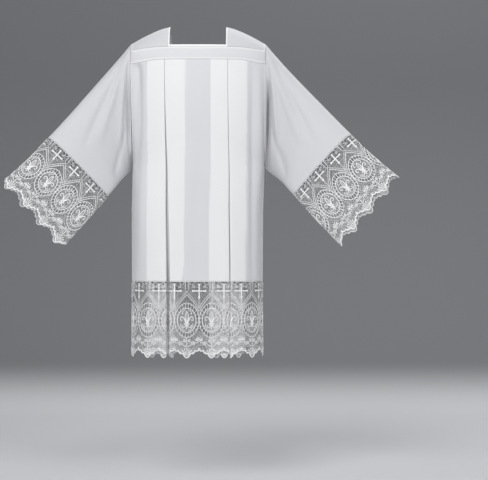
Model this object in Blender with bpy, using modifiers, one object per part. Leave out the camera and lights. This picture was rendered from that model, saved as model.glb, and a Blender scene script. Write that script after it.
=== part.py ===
"""Lace surplice in its worn, hollow form: square yoke, pleated body, wide sleeves, lace hem and cuffs.

Lengths are in metres. +Z is up, the front faces -Y, and +X is the right-hand side seen from the front.
The origin lies midway between the neck ends of the two shoulder lines, on which the garment hangs.
Every piece of cloth is an open surface worked out from the sizes below, and a Solidify modifier
gives it its thickness.
"""

import math
from collections import namedtuple

import bpy
import numpy as np
from mathutils.geometry import delaunay_2d_cdt

# Cloth and seams
CLOTH_WALL = 0.0012
LACE_WALL = 0.0012
SEAM_GAP = 0.0005
CORNER_GAP = 0.0014
SLEEVE_EDGE_GAP = 0.0008
UNDERARM_EDGE_GAP = 0.0030
CUFF_SEAM_GAP = 0.0005

# Faces of the body and of a sleeve: the front lies on the -Y side
FRONT = -1
BACK = 1

# Square yoke
NECK_HALF_WIDTH = 0.089
NECK_EDGE_Z = -0.063
BINDING_WIDTH = 0.005
BAND_TOP_Z = -0.070
YOKE_FOOT_Z = -0.110
SHOULDER_START = 0.096
SHOULDER_DROP = 0.054
SHOULDER_BEND = 1.3
YOKE_ROUNDNESS = 0.9
NECK_SPANS = 6
SHOULDER_SPANS = 5
SHOULDER_ROWS = 11
BAND_ROWS = 3

# Body, below the yoke
LACE_SEAM_Z = -0.806
UNDERARM_Z = -0.445
BODY_ROUNDNESS = 0.86
CURVE_STEPS = 181
Section = namedtuple("Section", "z half_width front back side turn")
BODY_SECTIONS = (
    Section(z=-0.110, half_width=0.2150, front=0.112, back=0.104, side=0.055, turn=62.0),
    Section(z=-0.200, half_width=0.2140, front=0.129, back=0.123, side=0.061, turn=66.0),
    Section(z=-0.300, half_width=0.2120, front=0.138, back=0.132, side=0.057, turn=72.0),
    Section(z=-0.390, half_width=0.2105, front=0.142, back=0.136, side=0.036, turn=82.0),
    Section(z=-0.445, half_width=0.2100, front=0.145, back=0.139, side=0.000, turn=90.0),
    Section(z=-0.620, half_width=0.2090, front=0.150, back=0.145, side=0.000, turn=90.0),
    Section(z=-0.806, half_width=0.2080, front=0.156, back=0.151, side=0.000, turn=90.0),
    Section(z=-1.046, half_width=0.2100, front=0.164, back=0.159, side=0.000, turn=90.0),
)

# Inverted pleats: inner and outer are how far the hidden cloth reaches towards the centre and the side,
# and mouth is half the gap between the two fold edges at the hem
Pleat = namedtuple("Pleat", "face x inner outer mouth")
PLEATS = (
    Pleat(face=FRONT, x=-0.100, inner=0.062, outer=0.062, mouth=0.0055),
    Pleat(face=FRONT, x=0.098, inner=0.058, outer=0.060, mouth=0.0022),
    Pleat(face=BACK, x=-0.098, inner=0.058, outer=0.060, mouth=0.0030),
    Pleat(face=BACK, x=0.099, inner=0.060, outer=0.058, mouth=0.0045),
)
LAYER_AT_YOKE = 0.0032
LAYER_AT_HEM = 0.0090
MOUTH_AT_YOKE = 0.0009
FOLD_STEPS = 2
CENTRE_SPANS = 3
LAYER_SPANS = 2
UNDERLAY_SPANS = 3
SIDE_SPANS = 8

# Soft hollows and swells of the body cloth: x is where they run, height is how far they stand out;
# one whose bottom is below the hem doesn't fade there
HEM_Z = -1.046
SWELL_START = 0.67
Swell = namedtuple("Swell", "face x top bottom width height")
SWELLS = (
    Swell(face=FRONT, x=-0.178, top=-0.110, bottom=-0.560, width=0.014, height=-0.007),
    Swell(face=FRONT, x=0.180, top=-0.110, bottom=-0.900, width=0.015, height=-0.006),
    Swell(face=FRONT, x=-0.095, top=-0.300, bottom=-1.200, width=0.030, height=0.005),
    Swell(face=FRONT, x=0.095, top=-0.300, bottom=-1.200, width=0.026, height=0.004),
    Swell(face=BACK, x=-0.172, top=-0.110, bottom=-0.780, width=0.016, height=-0.006),
    Swell(face=BACK, x=0.176, top=-0.110, bottom=-0.640, width=0.015, height=-0.007),
    Swell(face=BACK, x=-0.095, top=-0.300, bottom=-1.200, width=0.028, height=0.004),
    Swell(face=BACK, x=0.095, top=-0.300, bottom=-1.200, width=0.028, height=0.005),
)

# Sleeves: along is 0 at the armhole, LACE_SEAM_ALONG at the lace seam and 1 at the cuff's edge;
# top and low are the sleeve's upper and lower edges, forward how far it reaches to the front
LACE_SEAM_ALONG = 0.72
Station = namedtuple("Station", "along top_x top_z low_x low_z forward depth taper")
SLEEVE_STATIONS = (
    Station(along=0.00, top_x=0.2150, top_z=-0.054, low_x=0.2100, low_z=-0.445,
            forward=0.000, depth=0.060, taper=0.20),
    Station(along=0.20, top_x=0.2690, top_z=-0.117, low_x=0.2240, low_z=-0.461,
            forward=0.012, depth=0.062, taper=0.30),
    Station(along=0.45, top_x=0.3680, top_z=-0.230, low_x=0.2560, low_z=-0.492,
            forward=0.045, depth=0.060, taper=0.40),
    Station(along=0.72, top_x=0.4760, top_z=-0.350, low_x=0.2930, low_z=-0.538,
            forward=0.090, depth=0.054, taper=0.45),
    Station(along=0.86, top_x=0.5460, top_z=-0.424, low_x=0.3620, low_z=-0.619,
            forward=0.122, depth=0.050, taper=0.45),
    Station(along=1.00, top_x=0.6200, top_z=-0.491, low_x=0.4380, low_z=-0.703,
            forward=0.155, depth=0.046, taper=0.45),
)
SLEEVE_LEAN = math.radians(1.15)
ARMHOLE_BLEND = 0.40
CORNER_GAP_FADE = 0.10
LEAN_FADE = 0.60
YAW_FADE = 0.50
YAW_SHARE = 0.70
SLEEVE_ROUNDNESS = 0.8
EDGE_CROWDING = 0.45
ARMHOLE_CROWDING = 1.25
RING_STEPS = 97
ARMHOLE_STEPS = 60
SMALLEST_ROLL = 1e-6
RING_SPANS = 14
SLEEVE_ROWS = 9

# Folds that hang from the shoulder across a sleeve: around is 0 on the upper edge and 1 on the lower one
FOLD_FADE_AT_ARMHOLE = 0.05
FOLD_FADE_AT_LACE = 0.06
FOLD_START = 0.12
SleeveFold = namedtuple("SleeveFold", "face along_top around_top along_low around_low width height")
SLEEVE_FOLDS = (
    SleeveFold(face=FRONT, along_top=0.02, around_top=0.28,
               along_low=0.12, around_low=0.96, width=0.050, height=-0.016),
    SleeveFold(face=FRONT, along_top=0.06, around_top=0.18,
               along_low=0.36, around_low=0.84, width=0.045, height=0.009),
    SleeveFold(face=FRONT, along_top=0.10, around_top=0.14,
               along_low=0.52, around_low=0.52, width=0.045, height=0.007),
    SleeveFold(face=FRONT, along_top=0.08, around_top=0.10,
               along_low=0.66, around_low=0.43, width=0.040, height=-0.008),
    SleeveFold(face=FRONT, along_top=0.20, around_top=0.65,
               along_low=0.58, around_low=0.92, width=0.045, height=-0.007),
    SleeveFold(face=BACK, along_top=0.02, around_top=0.30,
               along_low=0.12, around_low=0.92, width=0.050, height=-0.012),
    SleeveFold(face=BACK, along_top=0.08, around_top=0.20,
               along_low=0.42, around_low=0.80, width=0.045, height=0.008),
    SleeveFold(face=BACK, along_top=0.14, around_top=0.10,
               along_low=0.62, around_low=0.50, width=0.040, height=-0.007),
    SleeveFold(face=BACK, along_top=0.30, around_top=0.60,
               along_low=0.60, around_low=0.88, width=0.045, height=0.005),
)

# Lace: one repeat has a medallion in a ring of holes, and a cross stands between it and the next
HEM_LACE_HEIGHT = 0.240
CUFF_LACE_HEIGHT = 0.213
HEM_REPEAT = 0.0770
CUFF_REPEATS = 8
CUFF_PHASE_LEFT = 0.50
CUFF_PHASE_RIGHT = -0.08
RING_CENTRE = 0.120
RING_HALF_WIDTH = 0.0375
RING_HALF_HEIGHT = 0.0465
RING_HOLES = 24
RING_HOLES_CUT = (-1, 0, 1, 11, 12, 13)
RING_HOLE_DEPTH = 0.0115
RING_HOLE_OUTER = 0.0074
RING_HOLE_INNER = 0.0052
HEADING_HOLES = (0.29, 0.71)
HEADING_HOLE_TOP = 0.0030
HEADING_HOLE_WIDTH = 0.0160
HEADING_HOLE_FOOT = 0.0040
HEADING_HOLE_LEAN = 0.0032
HEADING_HOLE_DEPTH = 0.0080
FOLD_MARGIN = 0.0016
POINT_MARGIN = 0.0030
EDGE_MARGIN = 0.0012
LACE_ROWS = (0.062, 0.160)

# The lace's edge from a cross to the next medallion: rise is how far it stays above its lowest points
Scallop = namedtuple("Scallop", "across rise")
SCALLOP = (
    Scallop(across=0.00, rise=0.0300),
    Scallop(across=0.24, rise=0.0265),
    Scallop(across=0.36, rise=0.0190),
    Scallop(across=0.56, rise=0.0140),
    Scallop(across=0.70, rise=0.0150),
    Scallop(across=0.80, rise=0.0040),
    Scallop(across=1.00, rise=0.0000),
)

SHARP_ANGLE = math.radians(50)
WHITE_CLOTH = (0.90, 0.90, 0.92, 1.0)
WHITE_LACE = (0.92, 0.92, 0.93, 1.0)


def smooth_column(rows, key, column, at):
    """Reads one column of a table at a place between its rows, along a smooth curve through them."""
    places = [getattr(row, key) for row in rows]
    values = [getattr(row, column) for row in rows]
    if places[0] > places[-1]:
        places.reverse()
        values.reverse()
    slopes = np.gradient(values, places)
    at = min(max(at, places[0]), places[-1])
    i = min(int(np.searchsorted(places, at, side="right")) - 1, len(places) - 2)
    i = max(i, 0)
    span = places[i + 1] - places[i]
    t = (at - places[i]) / span
    rise = 3 * t * t - 2 * t * t * t
    ease_in = t * (1 - t) * (1 - t) * span * slopes[i]
    ease_out = t * t * (t - 1) * span * slopes[i + 1]
    return float(values[i] * (1 - rise) + values[i + 1] * rise + ease_in + ease_out)


def smoothstep(t):
    """0 below 0, 1 above 1, and a smooth rise between."""
    t = np.clip(t, 0.0, 1.0)
    return t * t * (3 - 2 * t)


def mix(a, b, share):
    """The value this share of the way from a to b."""
    return a + (b - a) * share


# Body outline


def armhole_depth(z):
    """Half the armhole's depth at height z, below the yoke."""
    if z <= UNDERARM_Z:
        return 0.0
    return max(0.0, smooth_column(BODY_SECTIONS, "z", "side", z))


def outline(z, face):
    """The smooth outline of one face at height z: its lengths from the centre, and its x and y there."""
    half_width = smooth_column(BODY_SECTIONS, "z", "half_width", z)
    depth = smooth_column(BODY_SECTIONS, "z", "front" if face == FRONT else "back", z)
    side = armhole_depth(z)
    turn = math.radians(min(90.0, smooth_column(BODY_SECTIONS, "z", "turn", z)))
    angle = np.linspace(-turn, turn, CURVE_STEPS)
    across = np.sign(angle) * np.abs(np.sin(angle)) ** BODY_ROUNDNESS / math.sin(turn) ** BODY_ROUNDNESS
    end = abs(math.cos(turn)) ** BODY_ROUNDNESS
    out = (np.abs(np.cos(angle)) ** BODY_ROUNDNESS - end) / (1 - end)
    x = half_width * across
    y = face * (side + (depth - side) * out)
    length = np.concatenate([[0.0], np.cumsum(np.hypot(np.diff(x), np.diff(y)))])
    return length - length[-1] / 2, x, y


def swell_height(x, z, face):
    """How far the soft hollows and swells move the cloth out at one place."""
    total = 0.0
    for swell in SWELLS:
        if swell.face != face or not swell.bottom < z <= swell.top:
            continue
        down = (swell.top - z) / (swell.top - swell.bottom)
        fade = math.sin(math.pi * down) if swell.bottom > HEM_Z else smoothstep(down / SWELL_START)
        total += swell.height * fade * math.exp(-(((x - swell.x) / swell.width) ** 2))
    return total


def body_points(z, face, lengths, depths):
    """Points at these lengths along the outline, moved in by these depths."""
    length, x, y = outline(z, face)
    px = np.interp(lengths, length, x)
    py = np.interp(lengths, length, y)
    tangent_x = np.interp(lengths, length, np.gradient(x, length))
    tangent_y = np.interp(lengths, length, np.gradient(y, length))
    size = np.hypot(tangent_x, tangent_y)
    out_x = -face * tangent_y / size
    out_y = face * tangent_x / size
    out = np.array([swell_height(place, z, face) for place in px]) - depths
    return np.stack([px + out_x * out, py + out_y * out, np.full(len(px), z)], axis=1)


# Pleats


def fold(u, d, radius, bulge, inward):
    """A half turn of cloth about (u, d): bulge is the way its edge points, inward 1 if it goes deeper."""
    angles = np.linspace(-math.pi / 2, math.pi / 2, FOLD_STEPS + 1)
    return [(u + bulge * radius * math.cos(a), d + inward * radius * math.sin(a)) for a in angles]


def stretch(u_start, u_end, depth, spans):
    """The points inside a flat stretch of cloth, without its two ends."""
    return [(mix(u_start, u_end, i / spans), depth) for i in range(1, spans)]


def half_path(z, pleat, seat, reach):
    """(length, depth) of the cloth from the centre line to the side, through one inverted pleat."""
    fall = smoothstep((YOKE_FOOT_Z - z) / (YOKE_FOOT_Z - LACE_SEAM_Z)) if z < YOKE_FOOT_Z else 0.0
    layer = mix(LAYER_AT_YOKE, LAYER_AT_HEM, fall)
    mouth = mix(MOUTH_AT_YOKE, pleat.mouth, fall)
    r = layer / 2
    near = seat - mouth - r
    far = seat + mouth + r
    inner = seat - pleat.inner + r
    outer = seat + pleat.outer - r
    path = [(near * i / CENTRE_SPANS, 0.0) for i in range(CENTRE_SPANS)]
    path += fold(near, r, r, 1, 1)
    path += stretch(near, inner, layer, LAYER_SPANS)
    path += fold(inner, layer + r, r, -1, 1)
    path += stretch(inner, outer, 2 * layer, UNDERLAY_SPANS)
    path += fold(outer, layer + r, r, 1, -1)
    path += stretch(outer, far, layer, LAYER_SPANS)
    path += fold(far, r, r, -1, -1)
    path += [(mix(far, reach, i / SIDE_SPANS), 0.0) for i in range(1, SIDE_SPANS + 1)]
    return path


def face_path(z, face):
    """(length, depth) of one face's cloth at height z, from its left edge to its right edge."""
    length, x, _ = outline(z, face)
    left, right = [pleat for pleat in PLEATS if pleat.face == face]
    reach = length[-1] - SEAM_GAP / 2
    right_half = half_path(z, right, float(np.interp(right.x, x, length)), reach)
    left_half = half_path(z, left, float(np.interp(-left.x, x, length)), reach)
    path = [(-u, d) for u, d in reversed(left_half[1:])] + right_half
    return np.array(path)


def developed_columns(face):
    """Where each column of a face's cloth lies when it is laid flat, measured from the centre line."""
    path = face_path(LACE_SEAM_Z - HEM_LACE_HEIGHT / 2, face)
    flat = np.concatenate([[0.0], np.cumsum(np.hypot(*np.diff(path, axis=0).T))])
    return flat - np.interp(0.0, np.arange(len(flat)) - len(left_columns(face)), flat)


def left_columns(face):
    """The columns to the left of the centre line."""
    count = (len(face_path(LACE_SEAM_Z, face)) - 1) // 2
    return range(count)


def fold_columns():
    """The columns, counted from the centre line, at which the cloth turns."""
    first = CENTRE_SPANS
    counts = (LAYER_SPANS - 1, UNDERLAY_SPANS - 1, LAYER_SPANS - 1, 0)
    found = []
    for gap in counts:
        found += range(first, first + FOLD_STEPS + 1)
        first += FOLD_STEPS + 1 + gap
    return found


# Meshes


def add_cloth(name, points, faces, wall, colour):
    """Makes one named piece of cloth: an open surface with its thickness on both sides of it."""
    mesh = bpy.data.meshes.new(name)
    mesh.from_pydata([tuple(p) for p in points], [], faces)
    mesh.validate()
    mesh.shade_smooth()
    mesh.set_sharp_from_angle(angle=SHARP_ANGLE)
    piece = bpy.data.objects.new(name, mesh)
    bpy.data.collections["lace_surplice"].objects.link(piece)
    piece.data.materials.append(material_of(colour))
    solidify = piece.modifiers.new("thickness", "SOLIDIFY")
    solidify.thickness = wall
    solidify.offset = 0.0
    return piece


def material_of(colour):
    """The matt material of this colour, made once."""
    name = "white_lace" if colour == WHITE_LACE else "white_cloth"
    material = bpy.data.materials.get(name)
    if material is None:
        material = bpy.data.materials.new(name)
        material.use_nodes = True
        shader = material.node_tree.nodes["Principled BSDF"]
        shader.inputs["Base Color"].default_value = colour
        shader.inputs["Roughness"].default_value = 0.85
        shader.inputs["Metallic"].default_value = 0.0
    return material


def grid_faces(rows, columns, closed=False):
    """Quads between rows of points, round to the first column if the rows are closed."""
    across = columns if closed else columns - 1
    faces = []
    for i in range(rows - 1):
        for j in range(across):
            k = (j + 1) % columns
            faces.append((i * columns + j, i * columns + k, (i + 1) * columns + k, (i + 1) * columns + j))
    return faces


# Yoke


def shoulder_height(x):
    """Height of the shoulder line at x, level across the neck and falling to the shoulder's end."""
    end = BODY_SECTIONS[0].half_width
    out = max(0.0, (abs(x) - SHOULDER_START) / (end - SHOULDER_START))
    return -SHOULDER_DROP * out**SHOULDER_BEND


def yoke_point(x, roll):
    """A point of the yoke: roll is -90 degrees at its front foot, 0 on the shoulder line, 90 behind."""
    face = FRONT if roll < 0 else BACK
    _, outline_x, outline_y = outline(YOKE_FOOT_Z, face)
    depth = abs(float(np.interp(x, outline_x, outline_y)))
    y = face * depth * abs(math.sin(roll)) ** YOKE_ROUNDNESS
    z = mix(YOKE_FOOT_Z, shoulder_height(x), abs(math.cos(roll)) ** YOKE_ROUNDNESS)
    return (x, y, z)


def roll_at(x, z, face):
    """The roll at which the yoke is at height z."""
    share = (z - YOKE_FOOT_Z) / (shoulder_height(x) - YOKE_FOOT_Z)
    return face * math.acos(min(1.0, max(0.0, share)) ** (1 / YOKE_ROUNDNESS))


def shoulder_places():
    """The distances from the centre at which a shoulder piece has its columns."""
    near = NECK_HALF_WIDTH + BINDING_WIDTH + SEAM_GAP / 2
    end = BODY_SECTIONS[0].half_width - SEAM_GAP / 2
    return np.linspace(near, end, SHOULDER_SPANS + 1)


def add_band(name, face):
    """The straight band across the chest or the back, from armhole to armhole."""
    shoulder = shoulder_places()
    neck = np.linspace(-shoulder[0], shoulder[0], NECK_SPANS + 1)[1:-1]
    places = np.concatenate([-shoulder[::-1], neck, shoulder])
    rows = []
    for z in np.linspace(YOKE_FOOT_Z + SEAM_GAP / 2, BAND_TOP_Z - SEAM_GAP / 2, BAND_ROWS):
        rows += [yoke_point(x, roll_at(x, z, face)) for x in places]
    add_cloth(name, rows, grid_faces(BAND_ROWS, len(places)), CLOTH_WALL, WHITE_CLOTH)


def add_shoulder(name, side):
    """One shoulder piece, from the neck binding to the armhole and from the front band to the back band."""
    foot = BAND_TOP_Z + SEAM_GAP / 2
    places = side * shoulder_places()
    points = []
    for over in np.linspace(0.0, 1.0, SHOULDER_ROWS):
        for x in places:
            roll = mix(roll_at(x, foot, FRONT), roll_at(x, foot, BACK), over)
            points.append(yoke_point(x, roll))
    add_cloth(name, points, grid_faces(SHOULDER_ROWS, len(places)), CLOTH_WALL, WHITE_CLOTH)


def add_neck_binding(name):
    """The narrow binding round the square neck, one closed strip with mitred corners."""
    outer = NECK_HALF_WIDTH + BINDING_WIDTH - SEAM_GAP / 2
    across = np.linspace(-1, 1, NECK_SPANS + 1)[:-1]
    over = np.linspace(-1, 1, SHOULDER_ROWS)[:-1]
    corners = [(s, -1.0) for s in across] + [(1.0, r) for r in over]
    corners += [(-s, 1.0) for s in across] + [(-1.0, -r) for r in over]
    points = []
    for half_width, z in ((outer, BAND_TOP_Z + SEAM_GAP / 2), (NECK_HALF_WIDTH, NECK_EDGE_Z)):
        for s, r in corners:
            x = s * half_width
            roll = mix(roll_at(x, z, FRONT), roll_at(x, z, BACK), (r + 1) / 2)
            points.append(yoke_point(x, roll))
    add_cloth(name, points, grid_faces(2, len(corners), closed=True), CLOTH_WALL, WHITE_CLOTH)


# Body


def add_body(name, face):
    """The front or back, hung from the band in its pleats, down to the lace seam."""
    heights = np.concatenate([
        np.linspace(YOKE_FOOT_Z - SEAM_GAP / 2, UNDERARM_Z, 6)[:-1],
        np.linspace(UNDERARM_Z, LACE_SEAM_Z + SEAM_GAP / 2, 4),
    ])
    rows = []
    for z in heights:
        path = face_path(z, face)
        rows.append(body_points(z, face, path[:, 0], path[:, 1]))
    add_cloth(name, np.concatenate(rows), grid_faces(len(heights), len(rows[0])), CLOTH_WALL, WHITE_CLOTH)


# Sleeves


def half_armhole(face):
    """Points down one half of the armhole, from the shoulder's end over the yoke to the underarm."""
    end = BODY_SECTIONS[0].half_width
    rolls = face * np.linspace(SMALLEST_ROLL, math.pi / 2, ARMHOLE_STEPS)
    points = [yoke_point(end, roll) for roll in rolls]
    for z in np.linspace(YOKE_FOOT_Z, UNDERARM_Z, ARMHOLE_STEPS)[1:]:
        x = smooth_column(BODY_SECTIONS, "z", "half_width", z)
        points.append((x, face * armhole_depth(z), z))
    return np.array(points)


def by_length(values, fractions):
    """Rows of values read at these fractions of their path's length."""
    step = np.linalg.norm(np.diff(values, axis=0), axis=1)
    length = np.concatenate([[0.0], np.cumsum(step)])
    wanted = np.asarray(fractions) * length[-1]
    return np.stack([np.interp(wanted, length, values[:, k]) for k in range(values.shape[1])], axis=1)


def half_ring(along, face):
    """Even steps round half a sleeve: the share of the way down, and how far out and sideways they lie."""
    steps = np.linspace(0.0, 1.0, RING_STEPS)
    depth = smooth_column(SLEEVE_STATIONS, "along", "depth", along)
    taper = smooth_column(SLEEVE_STATIONS, "along", "taper", along)
    down = (1 - np.cos(math.pi * steps)) / 2
    out = depth * np.sin(math.pi * steps) ** SLEEVE_ROUNDNESS * (1 - taper * down)
    size = sleeve_size(along)
    hanging = by_length(np.stack([down * size, out, np.zeros(RING_STEPS)], axis=1), steps)
    hanging[:, 0] /= size
    armhole = by_length(half_armhole(face), steps)
    first, last = armhole[0], armhole[-1]
    share = (first[2] - armhole[:, 2]) / (first[2] - last[2])
    aside = armhole[:, 0] - mix(first[0], last[0], share)
    start = np.stack([share, np.abs(armhole[:, 1]), aside], axis=1)
    return mix(start, hanging, smoothstep(along / ARMHOLE_BLEND))


def sleeve_size(along):
    """The flat width of a sleeve."""
    read = [smooth_column(SLEEVE_STATIONS, "along", c, along) for c in ("top_x", "low_x", "top_z", "low_z")]
    return math.hypot(read[0] - read[1], read[2] - read[3])


def sleeve_fold_height(along, around, face):
    """How far the hanging folds move the sleeve's cloth out at one place."""
    total = 0.0
    for crease in SLEEVE_FOLDS:
        if crease.face != face:
            continue
        run = np.array([crease.along_low - crease.along_top, crease.around_low - crease.around_top])
        gone = np.array([along - crease.along_top, around - crease.around_top])
        t = float(np.clip(gone @ run / (run @ run), 0.0, 1.0))
        aside = np.linalg.norm(gone - t * run)
        fade = math.sin(math.pi * mix(FOLD_START, 1.0, t))
        total += crease.height * fade * math.exp(-((aside / crease.width) ** 2))
    from_armhole = smoothstep(along / FOLD_FADE_AT_ARMHOLE)
    return total * from_armhole * smoothstep((LACE_SEAM_ALONG - along) / FOLD_FADE_AT_LACE)


def sleeve_frame(side, along):
    """The upper edge, lower edge and outward depth direction of a sleeve at one station."""
    read = {c: smooth_column(SLEEVE_STATIONS, "along", c, along) for c in Station._fields[1:]}
    lean = side * SLEEVE_LEAN * smoothstep(along / LEAN_FADE)
    hinge = np.array([SLEEVE_STATIONS[0].top_x, SLEEVE_STATIONS[0].top_z])
    turn = np.array([[math.cos(lean), -math.sin(lean)], [math.sin(lean), math.cos(lean)]])
    top = turn @ (np.array([read["top_x"], read["top_z"]]) - hinge) + hinge
    low = turn @ (np.array([read["low_x"], read["low_z"]]) - hinge) + hinge
    top = np.array([side * top[0], -read["forward"], top[1]])
    low = np.array([side * low[0], -read["forward"], low[1]])
    reach = SLEEVE_STATIONS[-1]
    yaw = math.atan2(reach.forward, reach.top_x - SLEEVE_STATIONS[0].top_x) * smoothstep(along / YAW_FADE)
    depth = np.array([side * math.sin(yaw) * YAW_SHARE, math.cos(yaw), 0.0])
    return top, low, depth / np.linalg.norm(depth)


def sleeve_points(side, face, along, fractions):
    """Points round one half of a sleeve at one station, from its upper edge to its lower edge."""
    top, low, depth = sleeve_frame(side, along)
    ring = half_ring(along, face)
    places = np.linspace(0.0, 1.0, RING_STEPS)
    down = np.interp(fractions, places, ring[:, 0])
    out = np.interp(fractions, places, ring[:, 1])
    aside = np.interp(fractions, places, ring[:, 2])
    aside += CORNER_GAP * (1 - smoothstep(along / CORNER_GAP_FADE))
    swell = np.array([sleeve_fold_height(along, f, face) for f in fractions])
    out = out + swell * np.sin(math.pi * np.clip(down, 0.0, 1.0)) ** 0.5
    points = top + np.outer(down, low - top) + np.outer(face * out, depth)
    points[:, 0] += side * aside
    return points


def half_length(side, face, along):
    """The length round half a sleeve at one station."""
    ring = sleeve_points(side, face, along, np.linspace(0.0, 1.0, RING_STEPS))
    return float(np.linalg.norm(np.diff(ring, axis=0), axis=1).sum())


def ring_fractions():
    """Fractions round half a sleeve, a little closer together at its two edges."""
    even = np.linspace(0.0, 1.0, RING_SPANS + 1)
    return mix(even, (1 - np.cos(math.pi * even)) / 2, EDGE_CROWDING)


def add_sleeve_half(name, side, face):
    """The front or back half of a sleeve, from the armhole to its lace seam."""
    fractions = ring_fractions()
    cuff_length = CUFF_LACE_HEIGHT / (1 - LACE_SEAM_ALONG)
    end = LACE_SEAM_ALONG - CUFF_SEAM_GAP / 2 / cuff_length
    stations = end * np.linspace(0.0, 1.0, SLEEVE_ROWS) ** ARMHOLE_CROWDING
    rows = []
    for along in stations:
        around = half_length(side, face, along)
        low_gap = mix(UNDERARM_EDGE_GAP, SLEEVE_EDGE_GAP, smoothstep(along / ARMHOLE_BLEND))
        shares = mix(SLEEVE_EDGE_GAP / around, 1 - low_gap / around, fractions)
        rows.append(sleeve_points(side, face, along, shares))
    add_cloth(name, np.concatenate(rows), grid_faces(len(rows), len(fractions)), CLOTH_WALL, WHITE_CLOTH)


# Lace


def scallop_rise(place, repeat, phase):
    """How far the lace's edge stays above its lowest points at one place."""
    turn = ((place - phase) / repeat) % 1.0
    across = 1 - abs(2 * turn - 1)
    return float(np.interp(across, [p.across for p in SCALLOP], [p.rise for p in SCALLOP]))


def scallop_line(start, end, repeat, phase, height, stops):
    """The lace's lower edge between two places, with a big point under each medallion."""
    first = math.floor((start - phase) / repeat)
    last = math.ceil((end - phase) / repeat)
    places = []
    for i in range(first, last):
        cross = phase + i * repeat
        places += [cross + p.across * repeat / 2 for p in SCALLOP]
        places += [cross + repeat - p.across * repeat / 2 for p in SCALLOP[-2:0:-1]]
    fixed = [start, end] + [s for s in stops if start < s < end]
    places = [p for p in places if start < p < end and all(abs(p - s) > EDGE_MARGIN for s in fixed)]
    return [(p, height - scallop_rise(p, repeat, phase)) for p in sorted(places + fixed)]


def four_sided(s, h, top, foot, down, turn=0.0):
    """The corners of a gap in the lace with these two widths, turned about its centre."""
    corners = ((-top / 2, -down / 2), (top / 2, -down / 2), (foot / 2, down / 2), (-foot / 2, down / 2))
    c, n = math.cos(turn), math.sin(turn)
    return [(s + x * c - y * n, h + x * n + y * c) for x, y in corners]


def repeat_gaps(cross, repeat, squeeze):
    """The largest gaps of one repeat, whose first cross stands at this place."""
    gaps = []
    for across in HEADING_HOLES:
        s = cross + across * repeat
        middle = (HEADING_HOLE_TOP + HEADING_HOLE_DEPTH / 2) * squeeze
        lean = HEADING_HOLE_LEAN if across < 0.5 else -HEADING_HOLE_LEAN
        down = HEADING_HOLE_DEPTH * squeeze
        gap = four_sided(s, middle, HEADING_HOLE_WIDTH, HEADING_HOLE_FOOT, down)
        gaps.append(gap[:2] + [(x + lean, y) for x, y in gap[2:]])
    centre = cross + repeat / 2
    for hole in RING_HOLES_CUT:
        turn = 2 * math.pi * hole / RING_HOLES
        s = centre + RING_HALF_WIDTH * math.sin(turn)
        h = (RING_CENTRE - RING_HALF_HEIGHT * math.cos(turn)) * squeeze
        tilt = math.atan2(math.sin(turn) * RING_HALF_HEIGHT, math.cos(turn) * RING_HALF_WIDTH)
        gaps.append(four_sided(s, h, RING_HOLE_OUTER, RING_HOLE_INNER, RING_HOLE_DEPTH * squeeze, tilt))
    return gaps


def clear_of(gap, lines, start, end):
    """Whether a gap keeps off the places where the cloth turns, and off the strip's ends."""
    low = min(s for s, _ in gap) - FOLD_MARGIN
    high = max(s for s, _ in gap) + FOLD_MARGIN
    return low > start and high < end and not any(low < line < high for line in lines)


def near_gap(point, gaps):
    """Whether a point lies in a gap or close to one."""
    s, h = point
    return any(min(p[0] for p in gap) - POINT_MARGIN < s < max(p[0] for p in gap) + POINT_MARGIN
               and min(p[1] for p in gap) - POINT_MARGIN < h < max(p[1] for p in gap) + POINT_MARGIN
               for gap in gaps)


def lace_sheet(columns, turns, repeat, phase, height, squeeze):
    """The flat lace strip as points and triangles, with its scallops and its largest gaps cut."""
    start, end = float(columns[0]), float(columns[-1])
    lines = [float(columns[i]) for i in turns]
    first = math.floor((start - phase) / repeat) - 1
    last = math.ceil((end - phase) / repeat) + 1
    gaps = [gap for i in range(first, last) for gap in repeat_gaps(phase + i * repeat, repeat, squeeze)]
    gaps = [gap for gap in gaps if clear_of(gap, lines, start, end)]
    edge = scallop_line(start, end, repeat, phase, height, lines)
    outline_loop = [(float(c), 0.0) for c in columns] + edge[::-1]
    points = list(outline_loop)
    loops = [list(range(len(points)))]
    for gap in gaps:
        loops.append(list(range(len(points), len(points) + len(gap))))
        points += gap
    edges = []
    foot = dict(edge)
    for line in lines:
        chain = [outline_loop.index((line, 0.0))]
        for row in LACE_ROWS:
            chain.append(len(points))
            points.append((line, row * squeeze))
        chain.append(outline_loop.index((line, foot[line])))
        edges += list(zip(chain[:-1], chain[1:]))
    for column in columns[1:-1]:
        for row in LACE_ROWS:
            if float(column) not in lines and not near_gap((column, row * squeeze), gaps):
                points.append((float(column), row * squeeze))
    made = delaunay_2d_cdt(points, edges, loops, 0, 1e-7)
    faces = [tuple(f) for f, source in zip(made[2], made[5]) if list(source) == [0]]
    return np.array(made[0]), faces, len(gaps)


def add_hem_lace(name, face):
    """The lace band of the front or back, pleated with the cloth above it."""
    columns = developed_columns(face)
    middle = len(left_columns(face))
    turns = sorted({middle + side * i for i in fold_columns() for side in (-1, 1)})
    flat, faces, gaps = lace_sheet(columns, turns, HEM_REPEAT, 0.0, HEM_LACE_HEIGHT, 1.0)
    points = []
    for s, h in flat:
        z = LACE_SEAM_Z - SEAM_GAP / 2 - h
        path = face_path(z, face)
        u = np.interp([s], columns, path[:, 0])
        d = np.interp([s], columns, path[:, 1])
        points.append(body_points(z, face, u, d)[0])
    add_cloth(name, points, faces, LACE_WALL, WHITE_LACE)
    return gaps


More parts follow.
